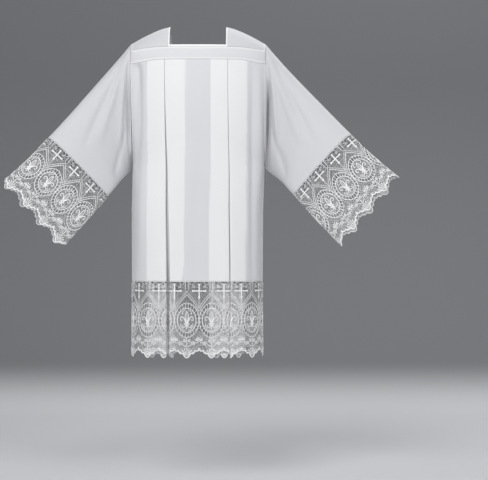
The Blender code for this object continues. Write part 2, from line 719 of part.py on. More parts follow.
def add_cuff_lace(name, side, face):
    """One half of a sleeve's lace cuff, from its upper edge to its lower edge."""
    fractions = ring_fractions()
    half = half_length(side, face, (LACE_SEAM_ALONG + 1) / 2)
    repeat = 2 * half / CUFF_REPEATS
    gap = CUFF_SEAM_GAP / 2
    columns = mix(SLEEVE_EDGE_GAP, half - SLEEVE_EDGE_GAP, fractions)
    share = CUFF_PHASE_LEFT if side < 0 else CUFF_PHASE_RIGHT
    phase = (share - 0.5) * repeat if face == FRONT else (0.5 - share) * repeat
    squeeze = CUFF_LACE_HEIGHT / HEM_LACE_HEIGHT
    flat, faces, gaps = lace_sheet(columns, (), repeat, phase, CUFF_LACE_HEIGHT, squeeze)
    points = []
    for s, h in flat:
        along = mix(LACE_SEAM_ALONG, 1.0, (h + gap) / (CUFF_LACE_HEIGHT + gap))
        points.append(sleeve_points(side, face, along, [s / half])[0])
    add_cloth(name, points, faces, LACE_WALL, WHITE_LACE)
    return gaps


def clear_scene():
    """Removes the scene's objects and makes the garment's collection."""
    for item in list(bpy.data.objects):
        bpy.data.objects.remove(item)
    bpy.context.scene.collection.children.link(bpy.data.collections.new("lace_surplice"))


def main():
    """Builds every piece of the surplice."""
    clear_scene()
    add_band("yoke_band_front", FRONT)
    add_band("yoke_band_back", BACK)
    add_neck_binding("neck_binding")
    add_body("front", FRONT)
    add_body("back", BACK)
    cut = add_hem_lace("hem_lace_front", FRONT) + add_hem_lace("hem_lace_back", BACK)
    for side, label in ((-1, "left"), (1, "right")):
        add_shoulder(f"shoulder_{label}", side)
        for face, half in ((FRONT, "front"), (BACK, "back")):
            add_sleeve_half(f"sleeve_{label}_{half}", side, face)
            cut += add_cuff_lace(f"cuff_lace_{label}_{half}", side, face)
    print("gaps cut in the lace:", cut)


main()
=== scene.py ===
"""Lace surplice: woven cloth, square yoke, bell sleeves, and corded lace at the hem and the cuffs.

Lengths are in metres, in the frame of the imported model: +Z up, the front faces -Y. Each panel is a fine
shell on the form of the solid that it stands for, and the lace is a chart of cords, drawn in millimetres
for one repeat, which a node tree sweeps and repeats before it is laid on the pleats and round the cuffs.
"""

import logging
import math
from collections.abc import Callable
from dataclasses import dataclass, field
from enum import Enum

import bmesh
import bpy
import numpy as np
from bpy.types import ID, Material, Mesh, Node, NodeSocket as Socket, NodeTree, Object
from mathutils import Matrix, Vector


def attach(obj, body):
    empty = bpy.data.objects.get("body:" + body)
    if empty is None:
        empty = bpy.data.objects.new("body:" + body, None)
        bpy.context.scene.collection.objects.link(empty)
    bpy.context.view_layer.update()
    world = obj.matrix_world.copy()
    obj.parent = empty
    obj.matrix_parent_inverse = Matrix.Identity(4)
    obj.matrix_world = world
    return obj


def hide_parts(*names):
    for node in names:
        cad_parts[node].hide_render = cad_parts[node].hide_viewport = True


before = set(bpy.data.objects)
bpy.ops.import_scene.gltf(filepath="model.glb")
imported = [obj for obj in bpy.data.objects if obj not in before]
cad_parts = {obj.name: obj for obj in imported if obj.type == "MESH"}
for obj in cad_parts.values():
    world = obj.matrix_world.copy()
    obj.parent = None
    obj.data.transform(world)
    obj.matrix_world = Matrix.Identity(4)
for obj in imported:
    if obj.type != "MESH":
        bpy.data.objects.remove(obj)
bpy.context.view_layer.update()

log = logging.getLogger("surplice")

MM = 0.001
TINY = 1e-7
BODY = "root"
SLUB_SCALE = (900.0, 24.0, 1.0)
CLOUD_SCALE = 14.0
GRAIN_SCALE = 650.0

Array = np.ndarray
Amount = float | Array
Line = list | Array


class Face(Enum):
    """The two faces of the garment and of a sleeve, with the sign of their Y."""

    FRONT = -1
    BACK = 1


FRONT, BACK = Face


class Side(Enum):
    """The two sides, seen from the front, with the sign of their X."""

    LEFT = -1
    RIGHT = 1


class Slot(Enum):
    """Names of material slots, which pieces pass to dress, and which it does not use."""

    CLOTH = "cloth"
    BINDING = "binding"
    LACE = "lace"


def mix(a: Amount, b: Amount, share: Amount) -> Amount:
    """The value this share of the way from a to b."""
    return a + (b - a) * share


def smoothstep(t: Amount) -> Amount:
    """0 below 0, 1 above 1, and a smooth rise between."""
    t = np.clip(t, 0.0, 1.0)
    return t * t * (3 - 2 * t)


def within(distance: Amount, reach: float, blend: float) -> Amount:
    """1 where a distance is under the reach, 0 where it is over it, and a soft step between."""
    return smoothstep((reach - distance) / blend + 0.5)


def flat_lengths(points: Array) -> Array:
    """The length along a row of points at each of them."""
    steps = np.linalg.norm(np.diff(points, axis=0), axis=1)
    return np.concatenate([[0.0], np.cumsum(steps)])


def girth(ring: Array) -> float:
    """The length round a closed ring of points."""
    return float(flat_lengths(np.concatenate([ring, ring[:1]]))[-1])


def by_length(values: Array, fractions: Amount) -> Array:
    """Rows of values read at these fractions of their path's length."""
    length = flat_lengths(values)
    wanted = np.asarray(fractions) * length[-1]
    return np.stack([np.interp(wanted, length, values[:, k]) for k in range(values.shape[1])], axis=1)


def read_rows(rows: tuple, key: str, column: str, at: float) -> float:
    """Reads one column of a table between its rows, along a smooth curve.

    Args:
        rows: The rows, dataclass instances in order of the key.
        key: The field that places a row.
        column: The field to read.
        at: The place.

    Returns:
        The value there, held at the first and last rows.
    """
    places = [getattr(row, key) for row in rows]
    values = [getattr(row, column) for row in rows]
    if places[0] > places[-1]:
        places.reverse()
        values.reverse()
    slopes = np.gradient(values, places)
    at = min(max(at, places[0]), places[-1])
    i = max(0, min(int(np.searchsorted(places, at, side="right")) - 1, len(places) - 2))
    span = places[i + 1] - places[i]
    t = (at - places[i]) / span
    rise = 3 * t * t - 2 * t * t * t
    ease = span * (t * (1 - t) ** 2 * slopes[i] + t * t * (t - 1) * slopes[i + 1])
    return float(mix(values[i], values[i + 1], rise) + ease)


@dataclass(frozen=True)
class Section:
    """The body's outline at one height."""

    z: float
    half_width: float
    front: float
    back: float
    side: float
    turn: float


@dataclass(frozen=True)
class Pleat:
    """An inverted pleat: how far its hidden cloth reaches, half its mouth at the hem, and its drift.

    At the lace the inner fold may swing back into the garment, so that less of it lies behind the front.
    """

    face: Face
    x: float
    inner: float
    outer: float
    mouth: float
    drift_top: float = 0.0
    drift_low: float = 0.0
    swing: float = 0.0


@dataclass(frozen=True)
class Crease:
    """A soft trough or ridge down the body cloth, leaning from one place to another."""

    face: Face
    x: float
    top: float
    bottom: float
    width: float
    height: float
    drift: float = 0.0


@dataclass(frozen=True)
class Station:
    """The sleeve at one place along it: its upper and lower edges and its depth."""

    along: float
    top_x: float
    top_z: float
    low_x: float
    low_z: float
    forward: float
    depth: float
    taper: float


@dataclass(frozen=True)
class SleeveFold:
    """A fold that hangs across both sleeves, or across one side's, from the upper edge."""

    face: Face
    along_top: float
    around_top: float
    along_low: float
    around_low: float
    width: float
    height: float
    side: Side | None = None


@dataclass
class BodyForm:
    """The pleated form of the body, from the yoke to the hem, on which cloth and lace are laid."""

    yoke_foot: float = -0.110
    underarm: float = -0.445
    lace_seam: float = -0.806
    hem: float = -1.046
    roundness: float = 0.86
    roundness_low: float = 0.66
    square_start: float = 0.075
    square_span: float = 0.25
    sway: float = -0.003
    sway_span: float = 0.16
    swing_start: float = -0.700
    swing_span: float = 0.180
    curve_steps: int = 361
    layer_at_yoke: float = 0.0032
    layer_at_hem: float = 0.0090
    mouth_at_yoke: float = 0.0006
    fade_start: float = 0.67
    seam_gap: float = 0.0005
    fold_steps: int = 6
    centre_spans: int = 24
    layer_spans: int = 7
    underlay_spans: int = 9
    side_spans: int = 32
    layer_edge: float = 0.0022
    held: float = 0.010
    edge_row: float = 0.0007
    sections: tuple = (
        Section(-0.11, 0.215, 0.112, 0.104, 0.055, 62.0),
        Section(-0.2, 0.214, 0.129, 0.123, 0.061, 66.0),
        Section(-0.3, 0.212, 0.138, 0.132, 0.057, 72.0),
        Section(-0.39, 0.2105, 0.142, 0.136, 0.036, 82.0),
        Section(-0.445, 0.21, 0.145, 0.139, 0.0, 90.0),
        Section(-0.62, 0.209, 0.15, 0.145, 0.0, 90.0),
        Section(-0.806, 0.208, 0.156, 0.151, 0.0, 90.0),
        Section(-1.046, 0.21, 0.164, 0.159, 0.0, 90.0),
    )
    pleats: tuple = (
        Pleat(FRONT, -0.1, 0.062, 0.062, 0.005, 0.0045, -0.012, 0.05),
        Pleat(FRONT, 0.098, 0.058, 0.06, 0.0013, -0.0035, 0.007),
        Pleat(BACK, -0.098, 0.058, 0.06, 0.003),
        Pleat(BACK, 0.099, 0.06, 0.058, 0.0045),
    )
    creases: tuple = (
        Crease(FRONT, -0.191, -0.06, -0.47, 0.012, -0.019, -0.003),
        Crease(FRONT, 0.172, -0.08, -0.9, 0.01, -0.0085, 0.004),
        Crease(FRONT, -0.095, -0.3, -1.2, 0.03, 0.005),
        Crease(FRONT, 0.095, -0.3, -1.2, 0.026, 0.004),
        Crease(BACK, -0.172, -0.11, -0.78, 0.016, -0.006),
        Crease(BACK, 0.176, -0.11, -0.64, 0.015, -0.007),
        Crease(BACK, -0.095, -0.3, -1.2, 0.028, 0.004),
        Crease(BACK, 0.095, -0.3, -1.2, 0.028, 0.005),
        Crease(FRONT, -0.199, -0.12, -0.42, 0.008, 0.004, 0.004),
        Crease(FRONT, -0.17, -0.3, -0.79, 0.012, 0.003, -0.008),
        Crease(FRONT, 0.194, -0.105, -0.56, 0.009, 0.0045, 0.004),
        Crease(FRONT, 0.168, -0.38, -0.8, 0.013, 0.0026, 0.006),
        Crease(FRONT, 0.02, -0.14, -0.64, 0.022, -0.0016, -0.014),
        Crease(FRONT, -0.022, -0.42, -0.86, 0.018, 0.0014, 0.01),
        Crease(BACK, -0.194, -0.13, -0.39, 0.008, 0.0034, 0.01),
        Crease(BACK, 0.195, -0.12, -0.44, 0.009, 0.0036, -0.008),
        Crease(BACK, -0.165, -0.46, -0.8, 0.012, 0.0028, 0.006),
        Crease(BACK, 0.163, -0.34, -0.76, 0.013, 0.003, -0.007),
        Crease(BACK, -0.018, -0.16, -0.56, 0.022, -0.0016, 0.012),
        Crease(BACK, 0.026, -0.46, -0.9, 0.018, 0.0014, -0.01),
    )

    def read(self, column: str, z: float) -> float:
        """One column of the sections at height z."""
        return read_rows(self.sections, "z", column, z)

    def side_depth(self, z: float) -> float:
        """Half the armhole's depth at height z, below the yoke."""
        if z <= self.underarm:
            return 0.0
        return max(0.0, self.read("side", z))

    def outline(self, z: float, face: Face) -> tuple:
        """The smooth outline of one face at height z.

        Args:
            z: The height.
            face: The face.

        Returns:
            Its lengths from the centre line, and its x and y there.
        """
        half_width = self.read("half_width", z)
        depth = self.read(face.name.lower(), z)
        side = self.side_depth(z)
        turn = math.radians(min(90.0, self.read("turn", z)))
        angle = np.linspace(-turn, turn, self.curve_steps)
        square = float(smoothstep((self.underarm + self.square_start - z) / self.square_span))
        power = mix(self.roundness, self.roundness_low, square)
        across = np.sign(angle) * np.abs(np.sin(angle)) ** power / math.sin(turn) ** power
        end = abs(math.cos(turn)) ** power
        out = (np.abs(np.cos(angle)) ** power - end) / (1 - end)
        x = half_width * across
        y = face.value * (side + (depth - side) * out)
        length = flat_lengths(np.stack([x, y], axis=1))
        return length - length[-1] / 2, x, y

    def crease_height(self, x: Array, z: float, face: Face) -> Array:
        """How far the creases move the cloth out along one row.

        Args:
            x: The place of each point across the garment.
            z: The row's height.
            face: The face.

        Returns:
            How far out each point moves.
        """
        total = np.zeros(len(x))
        for crease in self.creases:
            if crease.face is not face or not crease.bottom < z <= crease.top:
                continue
            down = (crease.top - z) / (crease.top - crease.bottom)
            if crease.bottom > self.hem:
                fade = math.sin(math.pi * down)
            else:
                fade = float(smoothstep(down / self.fade_start))
            middle = crease.x + crease.drift * down
            total += crease.height * fade * np.exp(-(((x - middle) / crease.width) ** 2))
        return total * float(smoothstep((self.yoke_foot - self.held - z) / self.held))

    def points(self, z: float, face: Face, lengths: Array, depths: Amount) -> Array:
        """Points along the outline, moved into the garment.

        Args:
            z: The height.
            face: The face.
            lengths: The length along the outline of each point, from the centre line.
            depths: How far in each point lies.

        Returns:
            The points, a row each.
        """
        length, x, y = self.outline(z, face)
        px = np.interp(lengths, length, x)
        py = np.interp(lengths, length, y)
        tangent_x = np.interp(lengths, length, np.gradient(x, length))
        tangent_y = np.interp(lengths, length, np.gradient(y, length))
        size = np.hypot(tangent_x, tangent_y)
        out = self.crease_height(px, z, face) - depths
        x = px - face.value * tangent_y / size * out
        x += self.sway * float(smoothstep((self.underarm - z) / self.sway_span))
        y = py + face.value * tangent_x / size * out
        return np.stack([x, y, np.full(len(px), z)], axis=1)

    def turn(self, u: float, d: float, radius: float, bulge: int, inward: int) -> list:
        """A half turn of cloth about (u, d), as (length, depth)."""
        angles = np.linspace(-math.pi / 2, math.pi / 2, self.fold_steps + 1)
        return [(u + bulge * radius * math.cos(a), d + inward * radius * math.sin(a)) for a in angles]

    def inner_fold(self, pleat: Pleat, z: float) -> tuple:
        """How far a pleat's inner fold reaches at height z, and how far it has swung back."""
        swing = pleat.swing * float(smoothstep((self.swing_start - z) / self.swing_span))
        return math.sqrt(pleat.inner**2 - swing**2), swing

    def half_path(self, z: float, pleat: Pleat, seat: float, reach: float) -> list:
        """The cloth from the centre line to the side, through one pleat.

        Args:
            z: The height.
            pleat: The pleat.
            seat: The length along the outline at which the pleat sits.
            reach: The length at which the cloth ends.

        Returns:
            Its (length, depth) points.
        """
        fall = float(smoothstep((self.yoke_foot - z) / (self.yoke_foot - self.lace_seam)))
        layer = mix(self.layer_at_yoke, self.layer_at_hem, fall)
        mouth = mix(self.mouth_at_yoke, pleat.mouth, fall)
        r = layer / 2
        middle = seat + mix(pleat.drift_top, pleat.drift_low, fall)
        near, far = middle - mouth - r, middle + mouth + r
        reach_in, swing = self.inner_fold(pleat, z)
        inner, outer = seat - reach_in + r, seat + pleat.outer - r
        layers, under = self.layer_spans, self.underlay_spans
        path = [(near * i / self.centre_spans, 0.0) for i in range(self.centre_spans)]
        path += self.turn(near, r, r, 1, 1)
        path += [(mix(near, inner, i / layers), layer + swing * i / layers) for i in range(1, layers)]
        path += self.turn(inner, layer + r + swing, r, -1, 1)
        path += [(mix(inner, outer, i / under), 2 * layer + swing * max(0.0, 1 - 2 * i / under))
                 for i in range(1, under)]
        path += self.turn(outer, layer + r, r, 1, -1)
        path += [(mix(outer, far, i / layers), layer) for i in range(1, layers)]
        path += self.turn(far, r, r, -1, -1)
        spans = self.side_spans
        path += [(mix(far, reach, i / spans), 0.0) for i in range(1, spans)]
        return path + [(reach - self.edge_row, 0.0), (reach, 0.0)]

    def path(self, z: float, face: Face) -> Array:
        """(length, depth) of one face's cloth at height z, from its left edge to its right edge.

        Args:
            z: The height.
            face: The face.

        Returns:
            A row for each point.
        """
        length, x, _ = self.outline(z, face)
        left, right = [pleat for pleat in self.pleats if pleat.face is face]
        reach = length[-1] - self.seam_gap / 2
        right_half = self.half_path(z, right, float(np.interp(right.x, x, length)), reach)
        left_half = self.half_path(z, left, float(np.interp(-left.x, x, length)), reach)
        return np.array([(-u, d) for u, d in reversed(left_half[1:])] + right_half)

    def flat_columns(self, face: Face) -> Array:
        """Where each column of the cloth lies when it is laid flat, from the centre line."""
        path = self.path((self.lace_seam + self.hem) / 2, face)
        flat = flat_lengths(path)
        return flat - flat[(len(flat) - 1) // 2]

    def bends(self, face: Face) -> list:
        """Places across the flat cloth at which it turns over, three for each fold.

        Args:
            face: The face.

        Returns:
            The places, from the centre line.
        """
        flat = self.flat_columns(face)
        middle = (len(flat) - 1) // 2
        first, found = self.centre_spans, []
        for gap in (self.layer_spans, self.underlay_spans, self.layer_spans, 0):
            found += [first + 1, first + self.fold_steps // 2, first + self.fold_steps - 1]
            first += self.fold_steps + gap
        return [float(flat[middle + side * i]) for side in (-1, 1) for i in found]

    def layer_share(self, z: float, face: Face) -> Array:
        """Where the cloth lies in layers.

        Args:
            z: The height.
            face: The face.

        Returns:
            1 where it lies in three layers, 0 where it is single, for each column.
        """
        path = self.path(z, face)
        length, x, _ = self.outline(z, face)
        total = np.zeros(len(path))
        for pleat in self.pleats:
            if pleat.face is not face:
                continue
            seat = float(np.interp(pleat.x, x, length))
            inner, _ = self.inner_fold(pleat, z)
            toward, away = (inner, pleat.outer) if pleat.x > 0 else (pleat.outer, inner)
            from_low = (path[:, 0] - seat + toward) / self.layer_edge
            from_high = (seat + away - path[:, 0]) / self.layer_edge
            total = np.maximum(total, smoothstep(from_low + 0.5) * smoothstep(from_high + 0.5))
        return total

    def grid(self, face: Face, heights: Array) -> Array:
        """The cloth's points, a row for each height.

        Args:
            face: The face.
            heights: The rows' heights.

        Returns:
            The points.
        """
        rows = []
        for z in heights:
            path = self.path(float(z), face)
            rows.append(self.points(float(z), face, path[:, 0], path[:, 1]))
        return np.array(rows)


@dataclass
class YokeForm:
    """The square yoke: bands, shoulders and neck on one rounded surface."""

    body: BodyForm
    neck_half_width: float = 0.089
    neck_edge: float = -0.063
    binding_width: float = 0.005
    band_top: float = -0.070
    shoulder_start: float = 0.096
    shoulder_drop: float = 0.054
    shoulder_bend: float = 1.3
    roundness: float = 0.9
    seam_gap: float = 0.0004
    sag_start: float = 0.120
    sag_foot: float = 0.0100
    sag_top: float = 0.0060
    allowance: float = 0.0058
    allowance_blend: float = 0.0015
    # How far the allowance strip lifts the cloth out of its grey painted shade, on the same scale as layers.
    allowance_painted_shade: float = 0.75
    slope_step: float = 1e-4
    crest: float = 1e-5

    def __post_init__(self) -> None:
        """Reads the outline at the yoke's foot once."""
        self.feet = {face: self.body.outline(self.body.yoke_foot, face) for face in Face}
        self.end = self.body.sections[0].half_width

    def shoulder_height(self, x: Array) -> Array:
        """Height of the shoulder line, level across the neck and falling to the armhole."""
        out = np.maximum(0.0, (np.abs(x) - self.shoulder_start) / (self.end - self.shoulder_start))
        return -self.shoulder_drop * out**self.shoulder_bend

    def point(self, x: Array, roll: Array, out: Amount) -> Array:
        """Points of the yoke, moved out of its surface.

        Args:
            x: Distances from the centre.
            roll: -90 degrees at the front foot, 0 on the shoulder line, 90 behind, in radians.
            out: How far each point stands out.

        Returns:
            The points, a row each.
        """
        x, roll, out = np.broadcast_arrays(x, roll, out)
        base, step = self.surface(x, roll), self.slope_step
        down = self.surface(x, roll + step) - self.surface(x, roll - step)
        across = self.surface(x + step, roll) - self.surface(x - step, roll)
        normal = np.cross(across, down)
        normal /= np.linalg.norm(normal, axis=-1, keepdims=True)
        return base + normal * out[..., None]

    def surface(self, x: Array, roll: Array) -> Array:
        """Points of the yoke's own surface, at these distances from the centre and these rolls.

        Args:
            x: The distances.
            roll: The rolls.

        Returns:
            The points.
        """
        depth = np.zeros(np.shape(x))
        for face, (_, outline_x, outline_y) in self.feet.items():
            here = np.sign(roll) == face.value
            depth = np.where(here, np.abs(np.interp(x, outline_x, outline_y)), depth)
        y = np.sign(roll) * depth * np.abs(np.sin(roll)) ** self.roundness
        z = mix(self.body.yoke_foot, self.shoulder_height(x), np.abs(np.cos(roll)) ** self.roundness)
        return np.stack([x, y, z], axis=-1)

    def off_crest(self, roll: Array, side: float = 1.0) -> Array:
        """The same rolls, moved off the shoulder line itself, where front and back meet."""
        return np.where(np.abs(roll) < self.crest, self.crest * side, roll)

    def roll_at(self, x: Array, z: Amount, face: Face) -> Array:
        """The roll at which the yoke is at height z."""
        share = (z - self.body.yoke_foot) / (self.shoulder_height(x) - self.body.yoke_foot)
        return face.value * np.arccos(np.clip(share, 0.0, 1.0) ** (1 / self.roundness))

    def hang(self, x: Array) -> Array:
        """0 along the middle of the band, rising to 1 at the armholes, where its ends hang lower."""
        return smoothstep((np.abs(x) - self.sag_start) / (self.end - self.sag_start))

    def allowance_share(self, reach: Array) -> Array:
        """How much of a seam allowance lies behind the cloth, this far from the armhole."""
        return within(reach, self.allowance, self.allowance_blend)

    def band_line(self, x: Array, share: float) -> Array:
        """The height of a line along the band, this share of the way from its foot to its top."""
        gap, hang = self.seam_gap / 2, self.hang(x)
        foot = self.body.yoke_foot + gap - self.sag_foot * hang
        return mix(foot, self.band_top - gap - self.sag_top * hang, share)

    def band_points(self, x: Array, z: Array, face: Face, out: Amount) -> Array:
        """Points of the band, also where it hangs below the yoke's own foot.

        Args:
            x: The distance of each point from the centre.
            z: Its height.
            face: The face.
            out: How far out from the yoke it lies.

        Returns:
            The points.
        """
        foot = self.body.yoke_foot
        points = self.point(x, self.roll_at(x, np.maximum(z, foot), face), out)
        lengths = np.interp(x, self.feet[face][1], self.feet[face][0])
        upper, lower = (self.body.points(foot - drop, face, lengths, -out) for drop in (0.0, self.sag_foot))
        return points + (lower - upper) * np.maximum(0.0, (foot - z) / self.sag_foot)[:, None]


@dataclass
class SleeveForm:
    """The bell of one sleeve, from the armhole to the cuff's edge."""

    side: Side
    body: BodyForm
    yoke: YokeForm
    lace_seam: float = 0.72
    lean: float = math.radians(1.15)
    armhole_blend: float = 0.40
    lean_fade: float = 0.60
    yaw_fade: float = 0.50
    yaw_share: float = 0.70
    roundness: float = 0.8
    steps: int = 181
    seam_gap: float = 0.0006
    gap_fade: float = 0.10
    armhole_points: int = 90
    crest: float = 1e-6
    fold_fade_armhole: float = 0.05
    fold_fade_lace: float = 0.06
    fold_start: float = 0.12
    stations: tuple = (
        Station(0.0, 0.215, -0.054, 0.21, -0.445, 0.0, 0.06, 0.2),
        Station(0.2, 0.269, -0.117, 0.224, -0.461, 0.012, 0.062, 0.3),
        Station(0.45, 0.368, -0.23, 0.256, -0.492, 0.045, 0.06, 0.4),
        Station(0.72, 0.476, -0.35, 0.293, -0.538, 0.09, 0.054, 0.45),
        Station(0.86, 0.546, -0.424, 0.362, -0.619, 0.122, 0.05, 0.45),
        Station(1.0, 0.62, -0.491, 0.438, -0.703, 0.155, 0.046, 0.45),
    )
    folds: tuple = (
        SleeveFold(FRONT, 0.02, 0.28, 0.12, 0.96, 0.05, -0.016),
        SleeveFold(FRONT, 0.06, 0.18, 0.36, 0.84, 0.045, 0.009),
        SleeveFold(FRONT, 0.1, 0.14, 0.52, 0.52, 0.045, 0.007),
        SleeveFold(FRONT, 0.08, 0.1, 0.66, 0.43, 0.04, -0.008),
        SleeveFold(FRONT, 0.2, 0.65, 0.58, 0.92, 0.045, -0.007),
        SleeveFold(BACK, 0.02, 0.3, 0.12, 0.92, 0.05, -0.012),
        SleeveFold(BACK, 0.08, 0.2, 0.42, 0.8, 0.045, 0.008),
        SleeveFold(BACK, 0.14, 0.1, 0.62, 0.5, 0.04, -0.007),
        SleeveFold(BACK, 0.3, 0.6, 0.6, 0.88, 0.045, 0.005),
        SleeveFold(FRONT, 0.02, 0.38, 0.165, 1.16, 0.058, -0.027, Side.RIGHT),
    )

    def __post_init__(self) -> None:
        """Works out the two halves of the armhole once."""
        self.armholes = {face: self.half_armhole(face) for face in Face}

    def half_armhole(self, face: Face) -> Array:
        """Points down one half of the armhole, from the shoulder's end to the underarm.

        Args:
            face: The half's face.

        Returns:
            The points.
        """
        count = self.armhole_points
        rolls = face.value * np.linspace(self.crest, math.pi / 2, count)
        over = self.yoke.surface(np.full(count, self.yoke.end), rolls)
        below = []
        for z in np.linspace(self.body.yoke_foot, self.body.underarm, count)[1:]:
            x = self.body.read("half_width", float(z))
            below.append((x, face.value * self.body.side_depth(float(z)), z))
        return np.concatenate([over, below])

    def read(self, column: str, along: float) -> float:
        """One column of the stations at a place along the sleeve."""
        return read_rows(self.stations, "along", column, along)

    def half_ring(self, along: float, face: Face) -> Array:
        """Even steps round half a sleeve.

        Args:
            along: The place along the sleeve.
            face: The half.

        Returns:
            Rows of the share of the way down, how far out and how far aside.
        """
        steps = np.linspace(0.0, 1.0, self.steps)
        down = (1 - np.cos(math.pi * steps)) / 2
        bow = self.read("depth", along) * np.sin(math.pi * steps) ** self.roundness
        out = bow * (1 - self.read("taper", along) * down)
        size = math.hypot(self.read("top_x", along) - self.read("low_x", along),
                          self.read("top_z", along) - self.read("low_z", along))
        hanging = by_length(np.stack([down * size, out, np.zeros(self.steps)], axis=1), steps)
        hanging[:, 0] /= size
        armhole = by_length(self.armholes[face], steps)
        first, last = armhole[0], armhole[-1]
        share = (first[2] - armhole[:, 2]) / (first[2] - last[2])
        aside = armhole[:, 0] - mix(first[0], last[0], share)
        start = np.stack([share, np.abs(armhole[:, 1]), aside], axis=1)
        return mix(start, hanging, smoothstep(along / self.armhole_blend))

    def fold_height(self, along: float, around: Array, face: Face) -> Array:
        """How far the hanging folds move the sleeve's cloth out.

        Args:
            along: The place along the sleeve.
            around: The share of the way round the half, for each point.
            face: The half.

        Returns:
            How far out each point moves.
        """
        total = np.zeros(len(around))
        for fold in self.folds:
            if fold.face is not face or fold.side not in (None, self.side):
                continue
            run = np.array([fold.along_low - fold.along_top, fold.around_low - fold.around_top])
            gone = np.stack([np.full(len(around), along) - fold.along_top, around - fold.around_top], axis=1)
            t = np.clip(gone @ run / (run @ run), 0.0, 1.0)
            aside = np.linalg.norm(gone - t[:, None] * run, axis=1)
            fade = np.sin(math.pi * mix(self.fold_start, 1.0, t))
            total += fold.height * fade * np.exp(-((aside / fold.width) ** 2))
        ends = smoothstep(along / self.fold_fade_armhole)
        return total * ends * smoothstep((self.lace_seam - along) / self.fold_fade_lace)

    def edges(self, along: float) -> tuple:
        """The sleeve's two edges.

        Args:
            along: The place along the sleeve.

        Returns:
            The upper edge, the lower edge and the outward direction there.
        """
        lean = self.side.value * self.lean * float(smoothstep(along / self.lean_fade))
        hinge = np.array([self.stations[0].top_x, self.stations[0].top_z])
        turn = np.array([[math.cos(lean), -math.sin(lean)], [math.sin(lean), math.cos(lean)]])
        forward = self.read("forward", along)
        found = []
        for edge in ("top", "low"):
            flat = np.array([self.read(edge + "_x", along), self.read(edge + "_z", along)])
            x, z = turn @ (flat - hinge) + hinge
            found.append(np.array([self.side.value * x, -forward, z]))
        reach = self.stations[-1]
        yaw = math.atan2(reach.forward, reach.top_x - hinge[0]) * float(smoothstep(along / self.yaw_fade))
        depth = np.array([self.side.value * math.sin(yaw) * self.yaw_share, math.cos(yaw), 0.0])
        return found[0], found[1], depth / np.linalg.norm(depth)

    def half(self, face: Face, along: float, fractions: Array) -> Array:
        """Points round one half of the sleeve.

        Args:
            face: The half.
            along: The place along the sleeve.
            fractions: 0 at the upper edge, 1 at the lower edge.

        Returns:
            The points, a row each.
        """
        top, low, depth = self.edges(along)
        ring = self.half_ring(along, face)
        places = np.linspace(0.0, 1.0, self.steps)
        down, out, aside = (np.interp(fractions, places, ring[:, k]) for k in range(3))
        aside = aside + self.seam_gap * (1 - smoothstep(along / self.gap_fade))
        swell = self.fold_height(along, np.asarray(fractions), face)
        out = out + swell * np.sin(math.pi * np.clip(down, 0.0, 1.0)) ** 0.5
        points = top + np.outer(down, low - top) + np.outer(face.value * out, depth)
        points[:, 0] += self.side.value * aside
        return points

    def ring(self, along: float, turns: Array) -> Array:
        """Points round the whole sleeve.

        Args:
            along: The place along the sleeve.
            turns: 0 to 1 down the front, 1 to 2 back up behind.

        Returns:
            The points, a row each.
        """
        turns = np.mod(turns, 2.0)
        front = self.half(FRONT, along, np.minimum(turns, 1.0))
        back = self.half(BACK, along, np.minimum(2.0 - turns, 1.0))
        return np.where((turns <= 1.0)[:, None], front, back)

    def half_length(self, face: Face, along: float) -> float:
        """The length round half a sleeve."""
        return float(flat_lengths(self.half(face, along, np.linspace(0.0, 1.0, self.steps)))[-1])


class NodeWork:
    """A node tree under construction, with named inputs and outputs where it is a group."""

    def __init__(self, tree: NodeTree, inputs: dict | None = None, outputs: dict | None = None) -> None:
        """Takes the tree and makes its sockets.

        Args:
            tree: The tree.
            inputs: Socket names with (type, default).
            outputs: Socket names with their types.
        """
        self.tree = tree
        self.sockets: dict = {}
        if outputs is None:
            return
        for label, (kind, default) in inputs.items():
            socket = tree.interface.new_socket(label, in_out="INPUT", socket_type=kind)
            if default is not None:
                socket.default_value = default
            self.sockets[label] = socket.identifier
        for label, kind in outputs.items():
            tree.interface.new_socket(label, in_out="OUTPUT", socket_type=kind)
        self.given = tree.nodes.new("NodeGroupInput")
        self.made = tree.nodes.new("NodeGroupOutput")

    def add(self, kind: str, settings: dict | None = None, **inputs: object) -> Node:
        """Adds a node.

        Args:
            kind: The node's type.
            settings: Properties of the node.
            inputs: Values or sockets for its inputs, by name with underscores for spaces.

        Returns:
            The node.
        """
        node = self.tree.nodes.new(kind)
        for key, value in (settings or {}).items():
            setattr(node, key, value)
        for key, value in inputs.items():
            self.feed(node.inputs[key.replace("_", " ")], value)
        return node

    def feed(self, socket: Socket, value: object) -> None:
        """Links a socket to one input, or sets it to a value.

        Args:
            socket: The input.
            value: The socket or value.
        """
        if isinstance(value, Socket):
            self.tree.links.new(value, socket)
        else:
            socket.default_value = value

    def calculate(self, operation: str, first: Socket | float, second: Socket | float = 0.5) -> Socket:
        """A Math node's output.

        Args:
            operation: What it does.
            first: Its first input.
            second: Its second.

        Returns:
            The output.
        """
        node = self.add("ShaderNodeMath", {"operation": operation})
        self.feed(node.inputs[0], first)
        self.feed(node.inputs[1], second)
        return node.outputs[0]


